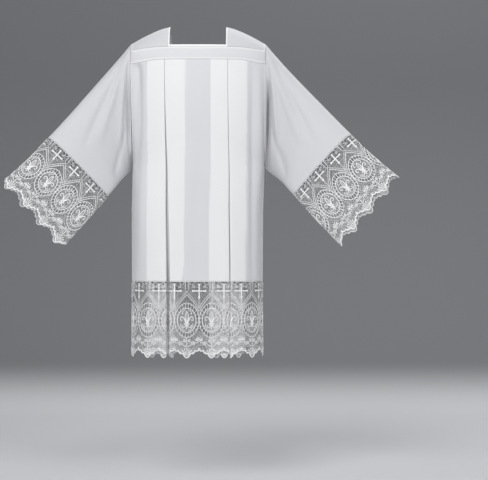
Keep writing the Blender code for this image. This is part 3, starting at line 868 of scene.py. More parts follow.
def plain_weave_group() -> NodeTree:
    """Plain weave: warp and weft threads with uneven thickness, and the cloth's soft unevenness.

    Returns:
        The group.
    """
    weave = NodeWork(
        bpy.data.node_groups.new("plain_weave", "ShaderNodeTree"),
        {"Flat": ("NodeSocketVector", None), "Pitch": ("NodeSocketFloat", 0.0006),
         "Slub": ("NodeSocketFloat", 0.3)},
        {"Height": "NodeSocketFloat", "Shade": "NodeSocketFloat"},
    )
    given, made = weave.given.outputs, weave.made.inputs
    apart = weave.add("ShaderNodeSeparateXYZ", Vector=given["Flat"])
    waves = []
    for axis in (0, 1):
        turns = weave.calculate("DIVIDE", apart.outputs[axis], given["Pitch"])
        waves.append(weave.calculate("SINE", weave.calculate("MULTIPLY", turns, math.pi)))
    stretched = weave.add("ShaderNodeVectorMath", {"operation": "MULTIPLY"})
    weave.feed(stretched.inputs[0], given["Flat"])
    weave.feed(stretched.inputs[1], SLUB_SCALE)
    slub = weave.add("ShaderNodeTexNoise", Vector=stretched.outputs[0], Scale=1.0, Detail=2.0)
    cloudy = weave.add("ShaderNodeTexNoise", Vector=given["Flat"], Scale=CLOUD_SCALE, Detail=1.0)
    uneven = weave.calculate("MULTIPLY", slub.outputs["Fac"], given["Slub"])
    weave.feed(made["Height"], weave.calculate("ADD", weave.calculate("MULTIPLY", *waves), uneven))
    halves = [weave.calculate("MULTIPLY", noise.outputs["Fac"], 0.5) for noise in (slub, cloudy)]
    weave.feed(made["Shade"], weave.calculate("ADD", *halves))
    return weave.tree


def corded_thread_group() -> NodeTree:
    """Twisted thread wound along a cord: slanting ridges, with a little unevenness.

    Returns:
        The group.
    """
    thread = NodeWork(
        bpy.data.node_groups.new("corded_thread", "ShaderNodeTree"),
        {"Twist Pitch": ("NodeSocketFloat", 0.0009)},
        {"Height": "NodeSocketFloat", "Shade": "NodeSocketFloat"},
    )
    place = thread.add("ShaderNodeTexCoord").outputs["Object"]
    apart = thread.add("ShaderNodeSeparateXYZ", Vector=place)
    slant = thread.calculate("ADD", apart.outputs[0], apart.outputs[2])
    turns = thread.calculate("DIVIDE", slant, thread.given.outputs["Twist Pitch"])
    ridge = thread.calculate("SINE", thread.calculate("MULTIPLY", turns, 2 * math.pi))
    grain = thread.add("ShaderNodeTexNoise", Vector=place, Scale=GRAIN_SCALE, Detail=1.0).outputs["Fac"]
    thread.feed(thread.made.inputs["Height"], thread.calculate("ADD", ridge, grain))
    thread.feed(thread.made.inputs["Shade"], grain)
    return thread.tree


class Surface(NodeWork):
    """The nodes of one material, round its principled shader."""

    def __init__(self, name: str, roughness: float, sheen: float = 0.0) -> None:
        """Makes the material, and sets what is the same all over it.

        Args:
            name: The material's name.
            roughness: Its roughness.
            sheen: The weight of its sheen.
        """
        self.material = bpy.data.materials.new(name)
        self.material.use_nodes = True
        super().__init__(self.material.node_tree)
        self.shader = self.tree.nodes["Principled BSDF"]
        self.shader.inputs["Roughness"].default_value = roughness
        self.shader.inputs["Sheen Weight"].default_value = sheen

    def attribute(self, name: str) -> Socket:
        """A float attribute's socket."""
        return self.add("ShaderNodeAttribute", {"attribute_name": name}).outputs["Fac"]

    def tone(self, share: Socket, first: object, second: object, clamped: bool = True) -> Socket:
        """A colour this share of the way from one colour, or socket, to another."""
        settings = {"data_type": "RGBA", "clamp_factor": clamped}
        return self.add("ShaderNodeMix", settings, Factor=share, A=first, B=second).outputs["Result"]

    def paint(self, colour: Socket, height: Socket | None = None, strength: float = 0.0,
              relief: float = 0.0) -> None:
        """Gives the shader its colour and its relief.

        Args:
            colour: The colour.
            height: The height of the relief, where there is one.
            strength: How strongly it shows.
            relief: Its greatest height.
        """
        self.feed(self.shader.inputs["Base Color"], colour)
        if height is not None:
            bump = self.add("ShaderNodeBump", Strength=strength, Distance=relief, Height=height)
            self.feed(self.shader.inputs["Normal"], bump.outputs["Normal"])

    def blend(self, share: Socket | float, kind: str, **inputs: object) -> None:
        """Mixes a share of a second shader, of this kind and with these inputs, into the first.

        Args:
            share: The second shader's share.
            kind: Its node type.
            inputs: Its inputs.
        """
        both = self.add("ShaderNodeMixShader", Fac=share)
        self.feed(both.inputs[1], self.shader.outputs[0])
        self.feed(both.inputs[2], self.add(kind, **inputs).outputs[0])
        self.feed(self.tree.nodes["Material Output"].inputs["Surface"], both.outputs[0])


@dataclass(frozen=True)
class WovenCloth:
    """The sheer white cloth, whiter where it lies in layers, with painted shade greying single cloth and some
    whole pieces.
    """

    name: str = "sheer_white_cloth"
    # single is grey painted shade for one layer, standing for the shaded inside seen through it; layered is
    # the white of several layers.
    single: tuple = (0.720, 0.722, 0.742, 1.0)
    layered: tuple = (0.860, 0.862, 0.872, 1.0)
    uneven: float = 0.25
    roughness: float = 0.86
    sheen: float = 0.35
    translucency: float = 0.15
    pitch: float = 0.0006
    slub: float = 0.35
    relief: float = 0.00006
    strength: float = 0.35

    def material(self, weave: NodeTree) -> Material:
        """Builds the material.

        Args:
            weave: The plain weave node group.

        Returns:
            The material.
        """
        made = Surface(self.name, self.roughness, self.sheen)
        flat = made.add("ShaderNodeUVMap", {"uv_map": "flat"})
        threads = made.add("ShaderNodeGroup", {"node_tree": weave}, Flat=flat.outputs["UV"],
                           Pitch=self.pitch, Slub=self.slub)
        spread = made.calculate("SUBTRACT", threads.outputs["Shade"], 0.5)
        spread = made.calculate("MULTIPLY", spread, self.uneven)
        # The layers attribute sets the share between them: real layering, plus each piece's painted shade,
        # which goes below single where it is negative.
        share = made.calculate("ADD", made.attribute("layers"), spread)
        colour = made.tone(share, self.single, self.layered, clamped=False)
        made.paint(colour, threads.outputs["Height"], self.strength, self.relief)
        made.blend(self.translucency, "ShaderNodeBsdfTranslucent", Color=self.layered)
        return made.material


@dataclass(frozen=True)
class LaceThread:
    """Mercerised lace thread: white, with a faint sheen and a twist; thin, open threads are painted grey as
    painted shade.
    """

    name: str
    colour: tuple
    dark: tuple
    thin_painted_shade: tuple = (0.33, 0.33, 0.345, 1.0)
    thin: float = 0.0012
    thick: float = 0.0022
    roughness: float = 0.62
    sheen: float = 0.10
    twist: float = 0.0009
    relief: float = 0.00012
    strength: float = 0.5

    def material(self, twisted: NodeTree) -> Material:
        """Builds the material.

        Args:
            twisted: The corded thread node group.

        Returns:
            The material.
        """
        made = Surface(self.name, self.roughness, self.sheen)
        thread = made.add("ShaderNodeGroup", {"node_tree": twisted}, Twist_Pitch=self.twist)
        white = made.tone(thread.outputs["Shade"], self.dark, self.colour)
        bold = made.add("ShaderNodeMapRange", Value=made.attribute("cord_width"), From_Min=self.thin,
                        From_Max=self.thick)
        # Thin threads get the grey painted shade; bold cords, and lace that lies in three layers, stay white.
        share = made.calculate("MAXIMUM", bold.outputs["Result"], made.attribute("layers"))
        colour = made.tone(share, self.thin_painted_shade, white)
        made.paint(colour, thread.outputs["Height"], self.strength, self.relief)
        return made.material


@dataclass(frozen=True)
class PaleGround:
    """The plain pale floor, which turns grey where it rises into the wall behind.

    The wall's back is clear, so that the garment can be seen from behind it.
    """

    name: str = "pale_ground"
    floor_colour: tuple = (0.52, 0.53, 0.545, 1.0)
    wall_colour: tuple = (0.15, 0.153, 0.160, 1.0)
    wall_foot: float = -1.452
    wall_blend: float = 0.20
    roughness: float = 0.9

    def material(self) -> Material:
        """Builds the material.

        Returns:
            The material.
        """
        made = Surface(self.name, self.roughness)
        place = made.add("ShaderNodeTexCoord").outputs["Object"]
        height = made.add("ShaderNodeSeparateXYZ", Vector=place).outputs[2]
        rise = made.add("ShaderNodeMapRange", {"interpolation_type": "SMOOTHSTEP"}, Value=height,
                        From_Min=self.wall_foot, From_Max=self.wall_foot + self.wall_blend)
        made.paint(made.tone(rise.outputs["Result"], self.floor_colour, self.wall_colour))
        made.blend(made.add("ShaderNodeNewGeometry").outputs["Backfacing"], "ShaderNodeBsdfTransparent")
        return made.material


@dataclass
class Finishes:
    """Every material of the garment, made once."""

    cloth: WovenCloth = WovenCloth()
    binding: WovenCloth = WovenCloth(name="bound_edge_cloth", single=(0.86, 0.86, 0.87, 1.0),
                                     layered=(0.90, 0.90, 0.905, 1.0), translucency=0.08)
    lace: LaceThread = LaceThread("white_lace_cord", (0.90, 0.90, 0.905, 1.0), (0.80, 0.80, 0.81, 1.0))
    sewing: LaceThread = LaceThread("sewing_thread", (0.93, 0.93, 0.935, 1.0), (0.86, 0.86, 0.87, 1.0),
                                    thin=-1.0, thick=-0.5, twist=0.0004, relief=0.00005)
    ground: PaleGround = PaleGround()
    made: dict = field(default_factory=dict)

    def build(self) -> None:
        """Builds the node groups and the materials."""
        weave, twisted = plain_weave_group(), corded_thread_group()
        for name, group in (("cloth", weave), ("binding", weave), ("lace", twisted), ("sewing", twisted)):
            self.made[name] = getattr(self, name).material(group)
        self.made["ground"] = self.ground.material()

    def __getitem__(self, name: str) -> Material:
        """The material of this name."""
        return self.made[name]


def link_object(name: str, data: ID) -> Object:
    """Puts a mesh, lamp or camera into the scene as an object at the origin."""
    made = bpy.data.objects.new(name, data)
    bpy.context.scene.collection.objects.link(made)
    return made


def dress(piece: Object, slot: Slot, *nodes: str, **cut: object) -> Object:
    """Attaches a piece to the body and hides the parts that it stands for.

    Args:
        piece: The piece.
        slot: Its material slot, which is not used.
        nodes: The nodes that it stands for, if any.
        cut: What is said of a sheet: its flat size, how it is held, what it rests on and its area; not used.

    Returns:
        The piece.
    """
    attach(piece, BODY)
    if nodes:
        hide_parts(*nodes)
    return piece


def triangle_count(piece: Object) -> int:
    """The triangles of a piece as it is shown."""
    shown = piece.evaluated_get(bpy.context.evaluated_depsgraph_get()).data
    shown.calc_loop_triangles()
    return len(shown.loop_triangles)


def mark(mesh: Mesh, name: str, values: Line) -> None:
    """Gives each point of a mesh a number of this name."""
    numbers = np.array(values, np.float32).ravel()
    mesh.attributes.new(name, "FLOAT", "POINT").data.foreach_set("value", numbers)


def flat_places(across: Array, down: Array) -> Array:
    """Where each point of a rectangle of cloth lies when it is flat, rows by columns."""
    return np.stack(np.broadcast_arrays(across[None, :], down[:, None]), axis=-1)


def woven_panel(name: str, grid: Array, flat: Array, layers: Amount, material: Material,
                wall: float, closed: bool = False) -> Object:
    """A cloth panel from a grid of points.

    Args:
        name: The piece's name.
        grid: Points, rows by columns.
        flat: Where each point lies when the cloth is flat, rows by columns.
        layers: 0 for a single layer to 1 for several, carrying each piece's painted shade too, for all, each
            column, or rows by columns.
        material: Its material.
        wall: The thickness of the cloth.
        closed: Whether the last column meets the first.

    Returns:
        The piece.
    """
    rows, columns = grid.shape[:2]
    across = columns if closed else columns - 1
    i, j = np.meshgrid(np.arange(rows - 1) * columns, np.arange(across), indexing="ij")
    k = (j + 1) % columns
    faces = np.stack([i + j, i + k, i + columns + k, i + columns + j], axis=-1).reshape(-1, 4)
    mesh = bpy.data.meshes.new(name)
    mesh.from_pydata(grid.reshape(-1, 3).tolist(), [], faces.tolist())
    places = flat.reshape(-1, 2)[faces.ravel()].reshape(-1, 4, 2)
    if closed:
        width = flat[:, -1, 0].max() * columns / (columns - 1)
        wraps = np.ptp(places[:, :, 0], axis=1) > width / 2
        places[:, :, 0] += width * (wraps[:, None] & (places[:, :, 0] < width / 2))
    mesh.uv_layers.new(name="flat").data.foreach_set("uv", places.reshape(-1).astype(np.float32))
    # The layers attribute: the cloth material paints shade where it is low.
    mark(mesh, "layers", np.broadcast_to(layers, grid.shape[:2]))
    mesh.materials.append(material)
    mesh.shade_smooth()
    piece = link_object(name, mesh)
    solidify = piece.modifiers.new("thickness", "SOLIDIFY")
    solidify.thickness = wall
    solidify.offset = 0.0
    return piece


class PieceTree(NodeWork):
    """A geometry node tree that is run on a mesh."""

    def __init__(self, name: str, inputs: dict) -> None:
        """Makes the tree.

        Args:
            name: The tree's name.
            inputs: Input names with (socket type, default), besides the geometry.
        """
        kind = "NodeSocketGeometry"
        super().__init__(bpy.data.node_groups.new(name, "GeometryNodeTree"),
                         {"Geometry": (kind, None), **inputs}, {"Geometry": kind})

    def attribute(self, name: str) -> Socket:
        """A float attribute's socket."""
        return self.add("GeometryNodeInputNamedAttribute", {"data_type": "FLOAT"}, Name=name).outputs[0]

    def finish(self, geometry: Socket) -> None:
        """Ends the tree in Realize Instances and Set Material.

        Args:
            geometry: What the tree has made.
        """
        whole = self.add("GeometryNodeRealizeInstances", Geometry=geometry)
        dressed = self.add("GeometryNodeSetMaterial", Geometry=whole.outputs[0],
                           Material=self.given.outputs["Material"])
        self.feed(self.made.inputs[0], dressed.outputs[0])

    def run(self, name: str, source: Mesh, values: dict) -> Mesh:
        """Runs the tree on a mesh.

        Args:
            name: The name of the mesh that it makes.
            source: The mesh to work on, which is removed.
            values: The values of the tree's inputs.

        Returns:
            A plain mesh.
        """
        holder = link_object(name + "_source", source)
        modifier = holder.modifiers.new("nodes", "NODES")
        modifier.node_group = self.tree
        for label, value in values.items():
            modifier[self.sockets[label]] = value
        bpy.context.view_layer.update()
        graph = bpy.context.evaluated_depsgraph_get()
        mesh = bpy.data.meshes.new_from_object(holder.evaluated_get(graph))
        mesh.name = name
        holder.modifiers.remove(modifier)
        bpy.data.objects.remove(holder)
        bpy.data.meshes.remove(source)
        return mesh


def lace_tree() -> PieceTree:
    """Sweeps a chart of cords and threads and repeats it along the lace.

    Returns:
        The tree.
    """
    tree = PieceTree("lace_repeat", {
        "Thin Below": ("NodeSocketFloat", 0.00165), "Cord Sides": ("NodeSocketInt", 5),
        "Thread Sides": ("NodeSocketInt", 3), "Count": ("NodeSocketInt", 1),
        "First": ("NodeSocketFloat", 0.0), "Repeat": ("NodeSocketFloat", 0.077),
        "Material": ("NodeSocketMaterial", None),
    })
    given = tree.given.outputs
    swept = []
    for sides, operation in (("Cord Sides", "GREATER_THAN"), ("Thread Sides", "LESS_EQUAL")):
        chosen = tree.add("FunctionNodeCompare", {"data_type": "FLOAT", "operation": operation})
        tree.feed(chosen.inputs[0], tree.attribute("cord_width"))
        tree.feed(chosen.inputs[1], given["Thin Below"])
        lines = tree.add("GeometryNodeMeshToCurve", Mesh=given["Geometry"], Selection=chosen.outputs[0])
        level = tree.add("GeometryNodeSetCurveNormal", {"mode": "Z_UP"}, Curve=lines.outputs[0])
        circle = tree.add("GeometryNodeCurvePrimitiveCircle", {"mode": "RADIUS"}, Resolution=given[sides],
                          Radius=0.5)
        section = tree.add("GeometryNodeTransform", Geometry=circle.outputs[0],
                           Rotation=(0.0, 0.0, math.pi / 2))
        tube = tree.add("GeometryNodeCurveToMesh", Curve=level.outputs[0],
                        Profile_Curve=section.outputs[0], Scale=tree.attribute("cord_width"),
                        Fill_Caps=True)
        swept.append(tube.outputs[0])
    both = tree.add("GeometryNodeJoinGeometry")
    for geometry in swept:
        tree.feed(both.inputs[0], geometry)
    place = tree.add("GeometryNodeInputPosition")
    apart = tree.add("ShaderNodeSeparateXYZ", Vector=place.outputs[0])
    rise = tree.calculate("MULTIPLY", apart.outputs[2], tree.attribute("cord_rise"))
    raised = tree.calculate("ADD", rise, tree.attribute("cord_lift"))
    where = tree.add("ShaderNodeCombineXYZ", X=apart.outputs[0], Y=apart.outputs[1], Z=raised)
    shaped = tree.add("GeometryNodeSetPosition", Geometry=both.outputs[0], Position=where.outputs[0])
    start = tree.add("ShaderNodeCombineXYZ", X=given["First"])
    step = tree.add("ShaderNodeCombineXYZ", X=given["Repeat"])
    row = tree.add("GeometryNodeMeshLine", Count=given["Count"], Start_Location=start.outputs[0],
                   Offset=step.outputs[0])
    repeats = tree.add("GeometryNodeInstanceOnPoints", Points=row.outputs[0], Instance=shaped.outputs[0])
    whole = tree.add("GeometryNodeRealizeInstances", Geometry=repeats.outputs[0])
    smooth = tree.add("GeometryNodeSetShadeSmooth", Geometry=whole.outputs[0])
    tree.finish(smooth.outputs[0])
    return tree


def stitch_tree() -> PieceTree:
    """Sets small stitches along a line on the cloth.

    Returns:
        The tree.
    """
    tree = PieceTree("stitch_row", {
        "Pitch": ("NodeSocketFloat", 0.0026), "Length": ("NodeSocketFloat", 0.0019),
        "Thickness": ("NodeSocketFloat", 0.0005), "Material": ("NodeSocketMaterial", None),
    })
    given = tree.given.outputs
    line = tree.add("GeometryNodeMeshToCurve", Mesh=given["Geometry"])
    spaced = tree.add("GeometryNodeResampleCurve", {"mode": "LENGTH"}, Curve=line.outputs[0],
                      Length=given["Pitch"])
    shape = tree.add("GeometryNodeMeshCylinder", Vertices=5, Side_Segments=1, Radius=1.0, Depth=2.0)
    thick, long = (tree.calculate("MULTIPLY", given[label], 0.5) for label in ("Thickness", "Length"))
    size = tree.add("ShaderNodeCombineXYZ", X=thick, Y=thick, Z=long)
    tangent = tree.add("GeometryNodeInputTangent")
    turned = tree.add("FunctionNodeAlignRotationToVector", {"axis": "Z"}, Vector=tangent.outputs[0])
    rows = tree.add("GeometryNodeInstanceOnPoints", Points=spaced.outputs[0], Instance=shape.outputs[0],
                    Rotation=turned.outputs[0], Scale=size.outputs[0])
    tree.finish(rows.outputs[0])
    return tree


def line_mesh(name: str, lines: list, closed: list) -> Mesh:
    """A mesh of lines, with one edge between each two points.

    Args:
        name: The mesh's name.
        lines: The points of each line.
        closed: Whether each line's end meets its start.

    Returns:
        The mesh.
    """
    points, edges = [], []
    for line, ring in zip(lines, closed):
        start, count = len(points), len(line)
        points += [tuple(p) for p in line]
        edges += [(start + i, start + (i + 1) % count) for i in range(count if ring else count - 1)]
    mesh = bpy.data.meshes.new(name)
    mesh.from_pydata(points, edges, [])
    return mesh


@dataclass
class Strand:
    """One cord of the lace's chart, in millimetres: across from the medallion's axis, and down."""

    points: Array
    width: Array
    rise: float
    lift: float
    closed: bool


@dataclass
class LaceChart:
    """One repeat of the lace, charted from its medallion's axis to the axis of the cross.

    Sizes are in millimetres. Across runs from the medallion's axis at 0 to the cross's at half the repeat,
    and down runs from the seam. What isn't on an axis is drawn once and mirrored.
    """

    repeat: float = 77.0
    height: float = 240.0
    cross_middle: float = 31.0
    cross_reach: float = 22.5
    cross_top: float = 8.0
    cross_foot: float = 54.5
    arm: float = 4.6
    arm_end: float = 7.4
    arm_neck: float = 0.92
    ring_middle: float = 122.0
    ring: tuple = (37.6, 53.5)
    medal: tuple = (28.8, 37.4)
    net_oval: tuple = (26.0, 34.6)
    motif_scale: float = 0.91
    motif_weight: float = 1.25
    spokes: int = 24
    net_pitch: float = 6.6
    ground_pitch: float = 8.6
    segment: float = 3.4
    straight: float = 10.0
    fine_steps: int = 12
    oval_steps: int = 181
    curl_steps: int = 10
    curl_least: int = 7
    curl_ease: float = 0.8
    lobe_steps: int = 9
    lobe_lean: float = 0.35
    edge_width: float = 5.0
    arch: tuple = ((0.0, 42.0), (11.0, 54.0), (23.0, 69.0), (31.5, 82.0), (37.2, 94.0))
    outer_arch: tuple = ((2.2, 35.5), (13.0, 47.5), (25.5, 62.5), (33.5, 74.0), (38.0, 85.0))
    lobes: tuple = ((38.5, 209.0, 0.0), (26.0, 216.0, 4.6), (12.6, 224.0, 4.6), (0.0, 238.4, 0.0))
    strands: list = field(default_factory=list)

    @property
    def half(self) -> float:
        """Half the repeat."""
        return self.repeat / 2

    def cord(self, points: Line, width: Amount | tuple, rise: float = 0.55, lift: float = 0.0,
             closed: bool = False, mirrored: bool = True) -> None:
        """Adds a cord to the chart.

        Args:
            points: Where it runs, (across, down).
            width: Its width, a number or one for each point.
            rise: Its height as a share of its width.
            lift: How far its middle is raised.
            closed: Whether its end meets its start.
            mirrored: Whether it is drawn on the other side of the axis too.
        """
        points = np.asarray(points, float)
        widths = np.broadcast_to(np.asarray(width, float), (len(points),)).copy()
        self.strands.append(Strand(points, widths, rise, lift, closed))
        if mirrored:
            self.strands.append(Strand(points * (-1.0, 1.0), widths, rise, lift, closed))

    def even(self, points: Line, step: float | None = None) -> Array:
        """The same line with a point at about every step, or else every segment."""
        points = np.asarray(points, float)
        count = max(1, round(flat_lengths(points)[-1] / (step or self.segment)))
        return by_length(points, np.linspace(0.0, 1.0, count + 1))

    def smooth(self, points: Line, step: float | None = None) -> Array:
        """A smooth line through the points.

        Args:
            points: The points.
            step: The distance between its points, if it isn't the chart's segment.

        Returns:
            Its points.
        """
        points = np.asarray(points, float)
        length = flat_lengths(points)
        slopes = np.gradient(points, length, axis=0)
        fine = np.linspace(0.0, length[-1], self.fine_steps * len(points))
        i = np.clip(np.searchsorted(length, fine, side="right") - 1, 0, len(points) - 2)
        span = (length[i + 1] - length[i])[:, None]
        t = (fine - length[i])[:, None] / span
        rise = 3 * t**2 - 2 * t**3
        ease = span * (t * (1 - t) ** 2 * slopes[i] + t**2 * (t - 1) * slopes[i + 1])
        return self.even(points[i] * (1 - rise) + points[i + 1] * rise + ease, step)

    def oval(self, size: tuple, width: float, rise: float, lift: float = 0.0,
             step: float | None = None) -> None:
        """Adds a closed cord round an oval about the ring's middle, given as half its width and height."""
        turns = np.linspace(0.0, 2 * math.pi, self.oval_steps)
        line = np.stack([size[0] * np.sin(turns), self.ring_middle - size[1] * np.cos(turns)], axis=1)
        self.cord(self.even(line, step)[:-1], width, rise, lift, closed=True, mirrored=False)

    def curl(self, across: float, down: float, radius: float, start: float, turns: float,
             core: float = 0.18) -> Array:
        """A spiral that winds in from its radius to its core.

        Args:
            across: Its centre, across.
            down: Its centre, down.
            radius: Its outer radius.
            start: The angle at which it starts, in degrees from straight down, clockwise.
            turns: How many turns it makes; a negative number turns the other way.
            core: The inner radius as a share of the outer one.

        Returns:
            Its points.
        """
        count = max(self.curl_least, round(abs(turns) * self.curl_steps))
        share = np.linspace(0.0, 1.0, count)
        angle = math.radians(start) + 2 * math.pi * turns * share
        size = radius * mix(1.0, core, share**self.curl_ease)
        return np.stack([across + size * np.sin(angle), down + size * np.cos(angle)], axis=1)

    def oval_level(self, across: Array, down: Array, size: tuple) -> Array:
        """Less than 1 inside an oval about the ring's middle, more outside."""
        return np.hypot(across / size[0], (down - self.ring_middle) / size[1])

    def arch_down(self, across: Array, arch: tuple) -> Array:
        """How far down an arch lies at these places across."""
        return np.interp(np.abs(across), [p[0] for p in arch], [p[1] for p in arch])

    def edge_line(self) -> Array:
        """The scalloped edge from the cross's axis to the medallion's, lobe by lobe.

        Returns:
            Its points.
        """
        points = []
        for (x0, h0, _), (x1, h1, bulge) in zip(self.lobes[:-1], self.lobes[1:]):
            share = np.linspace(0.0, 1.0, self.lobe_steps)[:-1]
            swell = bulge * np.sin(math.pi * share)
            down = mix(h0, h1, share) + swell
            if x1 == 0.0:
                down = mix(h0, h1, np.sin(math.pi * share / 2))
            points += list(np.stack([mix(x0, x1, share) + self.lobe_lean * swell, down], axis=1))
        points.append((0.0, self.lobes[-1][1]))
        return np.array(points)

    def edge_down(self, across: Array) -> Array:
        """How far down the scalloped edge lies at these places across."""
        line = self.edge_line()[::-1]
        return np.interp(np.abs(across), line[:, 0], line[:, 1])

    def hatch(self, width: float, pitch: float, slope: float,
              inside: Callable[[Array, Array], Array], rise: float = 0.5, lift: float = 0.0,
              low: float = 0.0, high: float = 240.0) -> None:
        """Fills a region with slanting threads.

        Args:
            width: The thread's width.
            pitch: The distance between threads, across.
            slope: How far down a thread runs for each millimetre across.
            inside: Says which places, across and down, lie in the region.
            rise: The thread's height as a share of its width.
            lift: How far its middle is raised.
            low: The least distance down to fill.
            high: The greatest.
        """
        reach = (high - low) / abs(slope)
        starts = np.arange(-math.ceil(reach / pitch), math.ceil(self.half / pitch) + 1) * pitch
        for start in starts if slope > 0 else starts + reach:
            down = np.linspace(low, high, 2 * int(high - low) + 1)
            line = np.stack([start + (down - low) / slope, down], axis=1)
            across = line[:, 0]
            fits = inside(across, down) & (across >= 0.0) & (across <= self.half)
            edges = np.flatnonzero(np.diff(np.concatenate([[False], fits, [False]]).astype(int)))
            for first, last in zip(edges[::2], edges[1::2]):
                if last - first > 4:
                    self.cord(self.even(line[first:last], self.straight), width, rise, lift)

    def draw_cross(self) -> None:
        """The cross between two medallions, its arms flaring at their ends."""
        shares = np.array([0, 0.10, 0.22, 0.5, 0.78, 0.90, 1])
        end, neck, arm = self.arm_end, self.arm_end * self.arm_neck, self.arm
        widths = np.array([end, neck, arm, arm, arm, neck, end])
        beam = np.stack([self.half + mix(-self.cross_reach, self.cross_reach, shares),
                         np.full(7, self.cross_middle)], axis=1)
        self.cord(beam, widths, 0.36, 0.5, mirrored=False)
        post = np.stack([np.full(7, self.half), mix(self.cross_top, self.cross_foot, shares)], axis=1)
        self.cord(post, widths, 0.36, 0.5, mirrored=False)

    def draw_heading(self) -> None:
        """The heading under the seam: edge cord, barred slits, scrolls and the knot under them."""
        self.cord(self.even([(-self.half, 1), (self.half, 1)]), 2.4, 0.5, mirrored=False)
        self.cord(self.even([(4.6, 1.5), (4.6, 25)]), 2.2, 0.5)
        self.cord(self.even([(8.2, 2), (9.4, 24)]), 1.5, 0.5)
        for down in np.arange(4.5, 25, 3.4):
            self.cord([(0, down), (4.6, down)], 1)
            self.cord([(4.6, down + 1.5), (9, down + 1.5)], 1.3)
        self.cord(self.smooth([(8.6, 3), (11, 9.5), (15, 12.4), (19.6, 9), (24.4, 2.6)]), 1.9, 0.5)
        self.cord(self.smooth([(24.6, 2.6), (28.2, 6.4), (33.4, 6.8), (37, 9.5)]), 1.5, 0.5)
        self.cord(self.curl(23, 17, 6, 200, 1.5), 1.9, 0.55, 0.2)
        self.cord(self.curl(13.6, 19, 3.6, 120, -1.2), 1.6, 0.55, 0.1)
        self.cord(self.curl(32.2, 12.6, 3.2, 90, 1.1), 1.5, 0.55, 0.1)
        self.cord(self.smooth([(29, 17), (33, 18.6), (35.8, 22), (35.6, 27.4)]), 1.6, 0.5)
        self.cord(self.smooth([(10, 24), (14.6, 24.6), (18, 26), (20.4, 28.4)]), 1.5, 0.5)
        self.cord([(6.2, 26), (3.2, 30), (0, 33.4), (-3.2, 36.8), (-6, 41)], 2, 0.55, 0.2)
        self.cord(self.smooth([(13.8, 33), (10, 30), (6.4, 27)]), 1.6, 0.5)
        self.cord(self.smooth([(9, 41), (6, 36.4), (7.4, 31.4), (12.6, 34.4), (17, 39.6)]), 1.6)

    def draw_arch(self) -> None:
        """The pointed arch over the medallion: two cords with a zigzag between, and net below."""
        self.cord(self.smooth(self.arch), 2.3, 0.55, 0.2)
        self.cord(self.smooth(self.outer_arch), 2, 0.55, 0.2)
        inner = self.even(self.arch, 4.4)
        outer = self.even(self.outer_arch, 4.4)
        count = min(len(inner), len(outer))
        for odd, even in ((inner, outer), (outer, inner)):
            self.cord([(odd if i % 2 else even)[i] for i in range(count)], 1.4, 0.5)

        def under_arch(across: Array, down: Array) -> Array:
            """Below the arch and outside the ring."""
            outside = self.oval_level(across, down, self.ring) > 1
            return outside & (down > self.arch_down(across, self.arch)) & (down < self.ring_middle)

        for slope in (1.15, -1.15):
            self.hatch(1.3, self.net_pitch, slope, under_arch, low=40, high=118)

    def draw_leaves(self) -> None:
        """The leaf fill between arch and cross: a rib under the cross with close veins."""
        rib = self.half - 1.3
        self.cord(self.even([(rib, self.cross_foot + 1), (rib, 88)]), 1.7, 0.55, 0.1)

        def over_arch(across: Array, down: Array) -> Array:
            """Above the outer arch and below the cross's beam."""
            above = down < self.arch_down(across, self.outer_arch) - 0.5
            return above & (down > self.cross_middle + 3.5) & (across > 9)

        self.hatch(1.64, 6, -1.9, over_arch, low=34, high=92)
        self.hatch(1, 8.4, 0.9, over_arch, low=34, high=92, lift=-0.2)

    def draw_ring(self) -> None:
        """The ring of keyhole gaps round the medallion."""
        self.oval(self.ring, 2.2, 0.55, 0.1)
        for spoke in range(self.spokes):
            turn = 2 * math.pi * (spoke + 0.5) / self.spokes
            ends = []
            for across, down in (self.medal, self.ring):
                ends.append((across * math.sin(turn), self.ring_middle - down * math.cos(turn)))
            line = np.array([mix(np.array(ends[0]), np.array(ends[1]), s) for s in (0, 0.3, 0.62, 1)])
            self.cord(line, (3.6, 2, 1.8, 3), 0.4, mirrored=False)

    def draw_medallion(self) -> None:
        """The oval medallion: corded rim, fine net, and a lily cross between curled leaves."""
        self.oval(self.medal, 2.8, 0.6, 0.3)
        self.oval(self.net_oval, 1.3, 0.6, step=4.2)

        def in_field(across: Array, down: Array) -> Array:
            """Inside the medallion's field."""
            return self.oval_level(across, down, self.net_oval) < 1

        for slope in (1, -1):
            self.hatch(1.42, 5.4, slope, in_field, lift=-0.2, low=84, high=160)
        middle = self.ring_middle

        def leaf(points: list, width: tuple, **more: bool) -> None:
            """A tapering leaf through these points, down from the medallion's middle."""
            line = self.smooth([(x * self.motif_scale, middle + y) for x, y in points])
            self.cord(line, self.motif_weight * np.linspace(*width, len(line)), 0.5, 0.5, **more)

        leaf([(0, -28.5), (4.9, -17), (4.9, -6), (1.4, 8.5)], (2.2, 2.9))
        leaf([(0, -22), (0, 8)], (1.4, 2.2), mirrored=False)
        leaf([(2.4, 8.6), (7, -1), (13, -9.5), (19.4, -10.6), (22.2, -4.6), (19.6, 1.4), (15.8, 0),
              (16, -3.6)], (3.8, 2))
        leaf([(-9.6, 11.2), (9.6, 11.2)], (3.6, 3.6), mirrored=False)
        leaf([(0, 13), (0, 28)], (4.2, 2.2), mirrored=False)
        leaf([(2.4, 13.5), (5.6, 20), (11.4, 22.6), (16, 18.8), (14.2, 14.8), (11.4, 16.4)], (3.2, 1.9))
        leaf([(3.4, -32), (10.4, -29.6), (16.4, -22.4), (14.6, -18.2), (11.6, -20.4)], (1.7, 2.2))
        leaf([(3.6, 32.6), (10, 30.2), (16.6, 24.6), (21.4, 15.6), (20, 10.6)], (1.6, 2.2))

    def draw_ground(self) -> None:
        """The corded ground between the rings and over the scallops."""

        def under_ring(across: Array, down: Array) -> Array:
            """Below the ring and above the scalloped edge."""
            outside = self.oval_level(across, down, self.ring) > 1.02
            return outside & (down > 128) & (down < self.edge_down(across) - 5.5)

